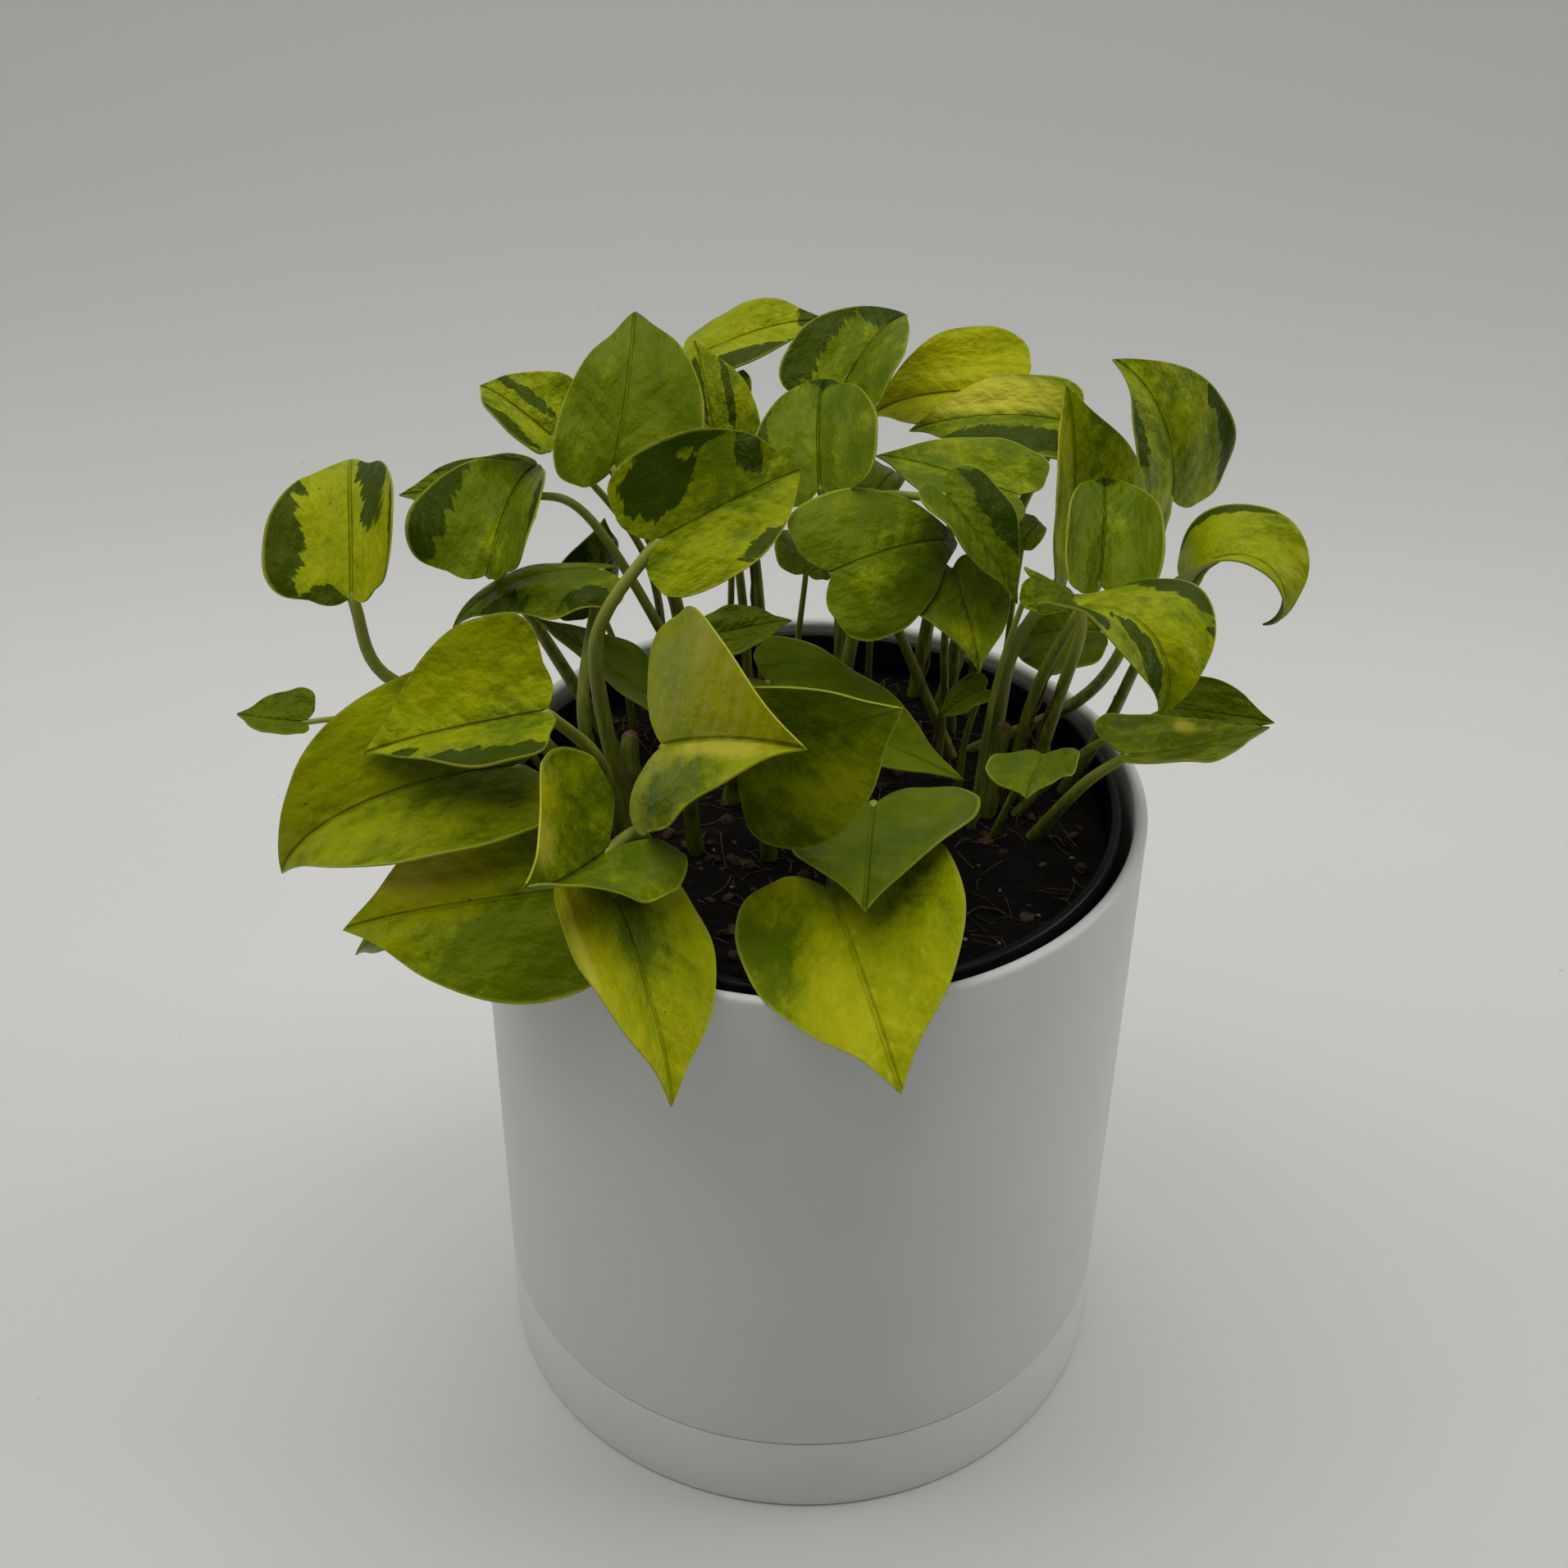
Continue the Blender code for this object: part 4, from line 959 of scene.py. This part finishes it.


# Leaves, from the back of the plant to the front, in mm from the centre of the planter's rim and in degrees.
# look, in flat leaf places: tone (0 green, 1 lime), lift (soft lime or green patches, and on one leaf a dark
# patch of painted shade where a lobe lies in shadow), deep (dark sectors) and cream (pale sectors).
leaves = [
    dict(joint=(-30, 81, 78), aim=(95, 30, -25), size=(35, 13, 13), droop=(25, 20), fold=(5, 15),
        curl=(-40, 0), twist=-15, foot=(-12, 62), via=[(-17, 68, 38)],
        look=dict(tone=0.95, deep=[(0.75, 0.35, 0.3, 0.5), (0, 0.95, 0.5, 0.18)])),
    dict(joint=(6, 61, 76), aim=(35, 45, 0), size=(34, 18, 14), droop=(40, 25), fold=(20, 15), foot=(8, 58),
        via=[(7, 59, 37)], look=dict(tone=0.15, deep=[(-0.85, 0.3, 0.4, 0.55), (-0.3, 0.85, 0.4, 0.2)])),
    dict(joint=(50, 75, 71), aim=(-90, 5, 30), size=(39, 15, 18), droop=(40, 25), fold=(15, 15),
        curl=(5, -10), twist=10, foot=(28, 58), via=[(35, 63, 34)],
        look=dict(tone=1.3, lift=[(0.2, 0.4, 0.5, 0.4, 0.4)])),
    dict(joint=(62, 59, 71), aim=(-90, 10, 25), size=(40, 15, 13), droop=(40, 5), fold=(10, 10),
        curl=(-5, -10), foot=(42, 50), via=[(48, 53, 34)],
        look=dict(tone=0.3, deep=[(-0.6, 0.4, 0.35, 0.5)], cream=[(0.5, 0.5, 0.6, 0.7)])),
    dict(joint=(-19, 66, 74), aim=(0, 50, 10), size=(8, 4, 3), droop=(40, 20), fold=(5, 10), foot=(-22, 60),
        via=[(-21, 62, 36)], look=dict(tone=-0.2)),
    dict(joint=(-25, 52, 66), aim=(-15, 55, 0), size=(30, 14, 12), droop=(25, 15), fold=(10, 10),
        curl=(-10, -5), foot=(-16, 50), via=[(-19, 51, 31)],
        look=dict(tone=0.45, deep=[(0.45, 0.45, 0.1, 0.4), (-0.1, 0.5, 0.08, 0.35)])),
    dict(joint=(-49, 35, 68), aim=(20, 55, -15), size=(46, 16, 21), droop=(35, 20), fold=(10, 15),
        tip_fold=-5, curl=(-30, 0), sway=-15, foot=(-30, 44), via=[(-36, 41, 32)],
        look=dict(tone=-0.15, lift=[(-0.3, 0.5, 0.3, 0.3, 0.25)])),
    dict(joint=(-65, 48, 70), aim=(-55, 25, 25), size=(27, 11, 14), droop=(20, 20), fold=(20, 10),
        curl=(30, 5), foot=(-38, 42), via=[(-42, 47, 35)],
        look=dict(tone=0.6, deep=[(-0.85, 0.4, 0.4, 0.5), (0.3, 0.45, 0.12, 0.4)])),
    dict(joint=(-73, 46, 56), aim=(-95, 5, 30), size=(31, 11, 11), droop=(15, 5), fold=(10, 5), tip_fold=-5,
        curl=(-15, -5), foot=(-23, 38), via=[(-54, 39, 50)],
        look=dict(tone=-0.1, deep=[(0.7, 0.5, 0.3, 0.5)])),
    dict(joint=(-78, 15, 50), aim=(10, 40, 10), size=(40, 21, 16), droop=(40, 20), fold=(20, 25),
        curl=(20, 20), twist=-10, lobe=0.05, foot=(-48, 26), via=[(-77, 43, 30)],
        look=dict(tone=-0.1, lift=[(0.1, 0.2, 0.35, 0.25, 0.5)], deep=[(-0.92, 0.35, 0.36, 0.5),
        (0.9, 0.65, 0.25, 0.45)])),
    dict(joint=(-109, 5, 49), aim=(-5, 40, 5), size=(46, 21, 19), droop=(30, 25), fold=(10, 35), tip_fold=-5,
        curl=(20, 35), twist=-15, sway=-10, lobe=0.05, foot=(-52, 4), via=[(-72, 8, 12), (-103, 6, 26)],
        look=dict(tone=1, deep=[(-0.88, 0.33, 0.36, 0.62), (0.42, 0.74, 0.3, 0.46), (1, 0.4, 0.16, 0.6),
        (-0.3, -0.02, 0.3, 0.08)])),
    dict(joint=(-55, 42, 27), aim=(-40, 90, -5), size=(24, 13, 10), droop=(-10, 5), fold=(5, -5),
        curl=(-45, -35), twist=10, sway=10, foot=(-46, 36), via=[(-49, 38, 10)],
        look=dict(tone=-0.2, deep=[(-0.6, 0.5, 0.4, 0.5), (0.6, 0.3, 0.3, 0.3)])),
    dict(joint=(-52, 25, 46), aim=(-100, 10, 0), size=(41, 15, 13), droop=(50, 15), fold=(0, 0),
        curl=(-35, -55), sway=-10, foot=(-50, 8), via=[(-56, 5, 17)],
        look=dict(tone=0.15, deep=[(0.75, 0.3, 0.4, 0.5), (-0.6, 0.8, 0.4, 0.3), (-0.8, 0.1, 0.3, 0.2)])),
    dict(joint=(-41, 22, 11), aim=(-75, 35, -5), size=(35, 12, 12), droop=(5, 5), fold=(15, 5),
        foot=(-34, 26), via=[(-36, 25, 1)], look=dict(tone=-0.6)),
    dict(joint=(1, 27, 68), aim=(-5, 35, 25), size=(38, 16, 18), droop=(25, 25), fold=(20, 20), twist=-15,
        foot=(7, 44), via=[(9, 36, 33)],
        look=dict(tone=0.05, deep=[(0, 1.02, 1.4, 0.24), (-0.95, 0.5, 0.2, 0.45)])),
    dict(joint=(14, 45, 56), aim=(30, 20, -15), size=(18, 10, 7), droop=(40, 25), fold=(10, 20), tip_fold=15,
        curl=(-5, 25), foot=(15, 44), via=[(15, 44, 26)], look=dict(tone=-0.5)),
    dict(joint=(-2, 25, 46), aim=(-5, 20, -20), size=(17, 9, 7), droop=(20, 10), fold=(15, 10),
        curl=(-5, -15), foot=(-5, 30), via=[(-4, 28, 20)], look=dict(tone=-0.1)),
    dict(joint=(48, 30, 65), aim=(-65, 10, 25), size=(38, 15, 15), droop=(15, 10), fold=(15, 5),
        curl=(0, -20), twist=-10, foot=(37, 43), via=[(37, 32, 28)], look=dict(tone=0.25)),
    dict(joint=(51, 32, 51), aim=(35, 20, -25), size=(12, 6, 4), droop=(35, 20), fold=(15, 20), curl=(5, 15),
        foot=(50, 38), via=[(50, 36, 23)], look=dict(tone=-0.4)),
    dict(joint=(61, 18, 52), aim=(-15, 85, -25), size=(45, 17, 22), droop=(5, 20), fold=(20, 15),
        curl=(25, -20), twist=15, foot=(43, 12), via=[(46, 12, 12), (49, 14, 32)],
        look=dict(tone=0.5, lift=[(-0.3, 0.5, 0.15, 0.5, 0.5)])),
    dict(joint=(89, 47, 56), aim=(-30, 90, -25), size=(41, 17, 23), droop=(45, 30), fold=(5, 15),
        curl=(-10, -5), sway=-15, foot=(39, 34), via=[(75, 34, 11)],
        look=dict(tone=0.45, deep=[(-0.8, 0.75, 0.38, 0.45), (0.95, 0.35, 0.24, 0.55)])),
    dict(joint=(63, -14, 66), aim=(10, 35, -10), size=(36, 12, 15), droop=(35, 15), fold=(30, 25),
        tip_fold=-5, curl=(20, 20), twist=10, foot=(49, 9), via=[(53, 2, 25), (58, -8, 50)],
        look=dict(tone=-0.35, lift=[(0.2, 0.45, 0.3, 0.25, 0.45)], deep=[(0, 1, 0.9, 0.18)])),
    dict(joint=(87, 0, 59), aim=(85, 70, 30), size=(37, 18, 16), droop=(180, 45), fold=(25, 10),
        foot=(64, 16), via=[(74, 14, 11), (79, 8, 34)],
        look=dict(tone=0.8, deep=[(0, 1.05, 0.5, 0.15), (-1, 0.5, 0.2, 0.6)])),
    dict(joint=(56, -35, 72), aim=(120, 25, 20), size=(37, 20, 15), droop=(105, 40), fold=(15, 5),
        curl=(-15, 5), twist=-25, sway=15, foot=(54, 10), via=[(58, -4, 28), (58, -26, 59)],
        look=dict(tone=0.55, deep=[(-0.95, 0.5, 0.34, 0.55), (0.85, 0.2, 0.3, 0.22),
        (0.25, 0.6, 0.16, 0.34)])),
    dict(joint=(49, -5, 62), aim=(95, -20, -20), size=(14, 6, 8), droop=(15, 10), fold=(-10, 0), tip_fold=-5,
        curl=(-45, -25), foot=(40, -1), via=[(43, -2, 29)], look=dict(tone=0.25)),
    dict(joint=(69, 14, 37), aim=(-70, -10, 20), size=(27, 14, 12), droop=(25, 20), fold=(15, 10),
        tip_fold=-10, curl=(-15, -20), twist=15, foot=(54, 30), via=[(58, 25, 15)], look=dict(tone=-0.1)),
    dict(joint=(30, 18, 71), aim=(130, -30, 0), size=(31, 13, 10), droop=(25, 0), fold=(10, 10),
        foot=(38, 31), via=[(12, 39, 52)], look=dict(tone=-0.05, deep=[(-0.8, 0.5, 0.4, 0.7)])),
    dict(joint=(33, 18, 51), aim=(160, -25, 5), size=(28, 12, 14), droop=(10, 5), fold=(10, 10),
        curl=(-15, -20), sway=10, foot=(33, 28), via=[(34, 30, 7), (33, 27, 26)],
        look=dict(tone=-0.4, lift=[(0.2, 0.7, 0.35, 0.2, 1.3)])),
    dict(joint=(41, 4, 26), aim=(-95, -25, 20), size=(14, 5, 5), droop=(30, 25), fold=(5, 10), curl=(15, 0),
        foot=(37, 10), via=[(38, 8, 9)], look=dict(tone=-0.1)),
    dict(joint=(86, 0, 24), aim=(100, 0, -35), size=(25, 9, 8), droop=(10, 5), fold=(10, 10), curl=(-10, -5),
        foot=(50, 4), via=[(66, 2, 9)], look=dict(tone=-0.2)),
    dict(joint=(72, -25, 27), aim=(70, -10, -5), size=(37, 14, 13), droop=(-25, 10), fold=(10, 20),
        tip_fold=-10, curl=(-15, 20), foot=(54, -4), via=[(64, -16, 12)],
        look=dict(tone=0.3, cream=[(-0.5, 0.5, 0.28, 0.12)])),
    dict(joint=(52, -30, 30), aim=(200, 5, -15), size=(22, 9, 12), droop=(-5, 5), fold=(5, 5),
        curl=(-15, -10), sway=-10, foot=(44, -6), via=[(49, -14, 10)], look=dict(tone=-0.05)),
    dict(joint=(-36, -5, 70), aim=(65, 20, -50), size=(46, 20, 16), droop=(40, 20), fold=(15, 15), twist=-10,
        foot=(-43, -7), via=[(-49, -6, 17), (-51, -7, 41), (-47, -8, 55)],
        look=dict(tone=0.65, lift=[(-0.5, 0.5, 0.5, 0.5, -0.5)], deep=[(-0.6, 0.12, 0.34, 0.2),
        (-0.95, 0.45, 0.2, 0.45), (-0.5, 0.62, 0.34, 0.09), (0.85, 0.55, 0.22, 0.28)])),
    dict(joint=(4, 0, 60), aim=(60, 10, -40), size=(41, 19, 19), droop=(30, 25), fold=(5, 5), tip_fold=-5,
        curl=(-25, -30), twist=-10, sway=10, foot=(1, 8), via=[(10, 15, 40)],
        look=dict(tone=-0.1, lift=[(0.3, 0.3, 0.3, 0.3, 0.5), (-0.3, 0.6, 0.3, 0.2, 0.4)])),
    dict(joint=(-24, -2, 44), aim=(90, 15, -20), size=(19, 7, 8), droop=(5, 5), fold=(10, 5), curl=(-15, -5),
        foot=(-20, 14), via=[(-21, 9, 19)], look=dict(tone=-0.1)),
    dict(joint=(-11, -2, 31), aim=(110, -20, -5), size=(52, 18, 18), droop=(-5, 0), fold=(10, 20),
        tip_fold=-5, curl=(-10, -5), foot=(-8, 20), via=[(-9, 13, 12)], look=dict(tone=-0.6)),
    dict(joint=(-15, -36, 36), aim=(115, 25, -80), size=(45, 19, 25), droop=(-15, 5), fold=(15, 5),
        curl=(35, 0), sway=-10, foot=(-10, -14), via=[(-12, -21, 15)],
        look=dict(tone=0.35, lift=[(0.5, 0.4, 0.3, 0.3, 0.5), (-0.4, 0.7, 0.4, 0.2, -0.6)])),
    # The negative lift at (0.6, 0.3) is painted shade: it darkens this leaf's lower lobe, which lies in
    # shadow.
    dict(joint=(-34, -34, 34), aim=(145, 35, -25), size=(57, 30, 22), droop=(15, 5), fold=(50, -10),
        tip_fold=25, curl=(-15, -40), foot=(-28, -12), via=[(-30, -19, 14)],
        look=dict(tone=1.15, lift=[(0.6, 0.3, 0.4, 0.35, -1.3), (-0.6, 0.65, 0.35, 0.35, 0.8),
        (-0.7, 0.15, 0.35, 0.2, -0.4)], cream=[(0.1, 0.5, 0.22, 0.45)])),
    dict(joint=(14, -29, 15), aim=(185, 10, -10), size=(45, 25, 19), droop=(10, 0), fold=(5, 5), tip_fold=15,
        curl=(-10, -30), foot=(15, -14), via=[(15, -18, 3)], look=dict(tone=-0.25)),
    dict(joint=(4, -55, 10), aim=(165, -10, -10), size=(54, 28, 24), droop=(5, 15), fold=(10, 5),
        curl=(10, -25), foot=(5, -34), via=[(5, -40, 1)],
        look=dict(tone=1.1, lift=[(0.8, 0.2, 0.4, 0.4, -1.2), (0.3, 0.6, 0.35, 0.2, 0.8),
        (-0.6, 0.15, 0.4, 0.25, -0.6)])),
    dict(joint=(-43, -69, 19), aim=(155, -25, 20), size=(48, 20, 16), droop=(15, 15), fold=(5, 10),
        curl=(-10, -15), foot=(-34, -40), via=[(-37, -49, 5)],
        look=dict(tone=1.25, lift=[(0.75, 0.3, 0.3, 0.45, 0.7), (-0.05, 0.22, 0.4, 0.28, -1.3),
        (-0.7, 0.4, 0.3, 0.3, -0.5)], cream=[(0.85, 0.3, 0.12, 0.4)])),
    dict(joint=(-45, -59, 23), aim=(-155, 10, 20), size=(45, 19, 25), droop=(-30, -10), fold=(35, 40),
        tip_fold=25, curl=(-60, -10), lobe=0.25, foot=(-38, -20), via=[(-40, -32, 8)],
        look=dict(tone=0.05, lift=[(0.7, 0.6, 0.5, 0.5, 1.3)], cream=[(0.4, 0.68, 0.34, 0.28)])),
    dict(joint=(-53, -56, 10), aim=(-95, -5, 25), size=(54, 25, 22), droop=(10, 15), fold=(5, 15),
        curl=(-25, 0), twist=10, foot=(-44, -30), via=[(-47, -38, 1)],
        look=dict(tone=0.3, lift=[(0.45, 0.6, 0.6, 0.4, 1.6), (-0.5, 0.2, 0.5, 0.3, -0.7)],
        cream=[(0.55, 0.62, 0.5, 0.28)])),
    dict(joint=(-67, -33, 27), aim=(-100, 0, 20), size=(67, 24, 26), droop=(40, 35), fold=(15, 20),
        curl=(0, 15), twist=15, sway=-10, foot=(-52, -20), via=[(-56, -24, 10)],
        look=dict(tone=0.8, lift=[(0, 0.05, 0.5, 0.25, -0.7), (-0.9, 0.3, 0.3, 0.5, -0.5)])),
    dict(joint=(-60, -33, 42), aim=(-95, -10, 25), size=(43, 19, 24), droop=(5, 15), fold=(25, 15),
        curl=(0, 25), twist=-10, lobe=0.05, foot=(-45, -12), via=[(-50, -18, 18)],
        look=dict(tone=0.7, lift=[(0.2, 0.5, 0.4, 0.25, 0.5), (-0.3, 0.2, 0.4, 0.2, -0.6)],
        deep=[(-0.85, 0.3, 0.3, 0.45), (-0.4, 0.75, 0.2, 0.1)])),
    dict(joint=(-81, -49, -3), aim=(-85, -15, 5), size=(30, 13, 14), droop=(25, 15), fold=(15, 10),
        curl=(-5, -10), foot=(-57, -15), via=[(-79, -18, 11), (-81, -26, 15)], look=dict(tone=0.2)),
    dict(joint=(-122, -5, 20), aim=(-85, 0, 25), size=(17, 7, 9), droop=(5, 0), fold=(20, 5), tip_fold=-10,
        curl=(30, 5), sway=10, foot=(-62, 10), via=[(-82, 13, 12)], look=dict(tone=-0.1)),
]

for number, leaf in enumerate(leaves, 1):
    makeLeaf(number, leaf)
print("leaves made")

# Which leaves keep a dry sheath, and the share of the stalk that it covers.
sheathShares = {1: 0.4, 3: 0.35, 8: 0.4, 11: 0.5, 20: 0.5, 21: 0.45, 22: 0.5}
sheathShares |= {23: 0.45, 24: 0.4, 28: 0.4, 33: 0.3, 35: 0.4, 41: 0.5}


def makeSheaths(shares):
    runs = [makeSheath(n, leaves[n - 1], share, n * 1.9) for n, share in shares.items()]
    piece = tubeMesh("drySheaths", runs, looks["sheath"], 1)
    declare(piece, "vine_green")


# Old vines standing in the soil: foot and head from the soil, and radius.
vineSpec = {
    "vines": [
        ((-46, 2), (-44, 5, 22), 2.8),
        ((-34, 36), (-29, 29, 28), 2.8),
        ((10, 50), (8, 51, 30), 2.6),
        ((44, 5), (46, 4, 26), 2.8),
        ((35, 48), (39, 51, 28), 2.6),
        ((-20, 8), (-20, 6, 14), 2.4),
        ((57, 22), (60, 20, 16), 2.4),
    ],
    "points": 14,
}


# Knobbly stems: they swell at each node, and end in a shrunken brown cut.
def makeVines(spec):
    for number, (foot, head, radius) in enumerate(spec["vines"], 1):
        low = np.array([foot[0], foot[1], soilHeight(*foot) - 2])
        high = np.array([head[0], head[1], soilSpec["level"] + head[2]])
        run = []
        for k in range(spec["points"]):
            share = k / (spec["points"] - 1)
            knob = 1 + 0.18 * math.exp(-(((share * 2.4) % 1 - 0.5) / 0.12) ** 2)
            sway = np.array([math.sin(share * 4 + number), math.cos(share * 3 + number), 0]) * 0.7 * share
            shrunk = 0.8 if share == 1 else 1
            place = low + (high - low) * share + sway
            run.append((place, radius * knob * (1 - 0.22 * share) * shrunk))
        stem = tubeMesh(f"vineStem{number}", [run], looks["stalk"], 3)
        tip, size = run[-1]
        cut = [(tip - (0, 0, 0.4), size * 1.04), (tip + (0, 0, 0.5), size * 0.8)]
        cap = tubeMesh(f"vineCut{number}", [cut], looks["sheath"], 3)
        piece = joinAll([stem, cap], f"oldVine{number}")
        declare(piece, "vine_green", f"vine_stem_{number}")


makeSheaths(sheathShares)
makeVines(vineSpec)
print("stems made")
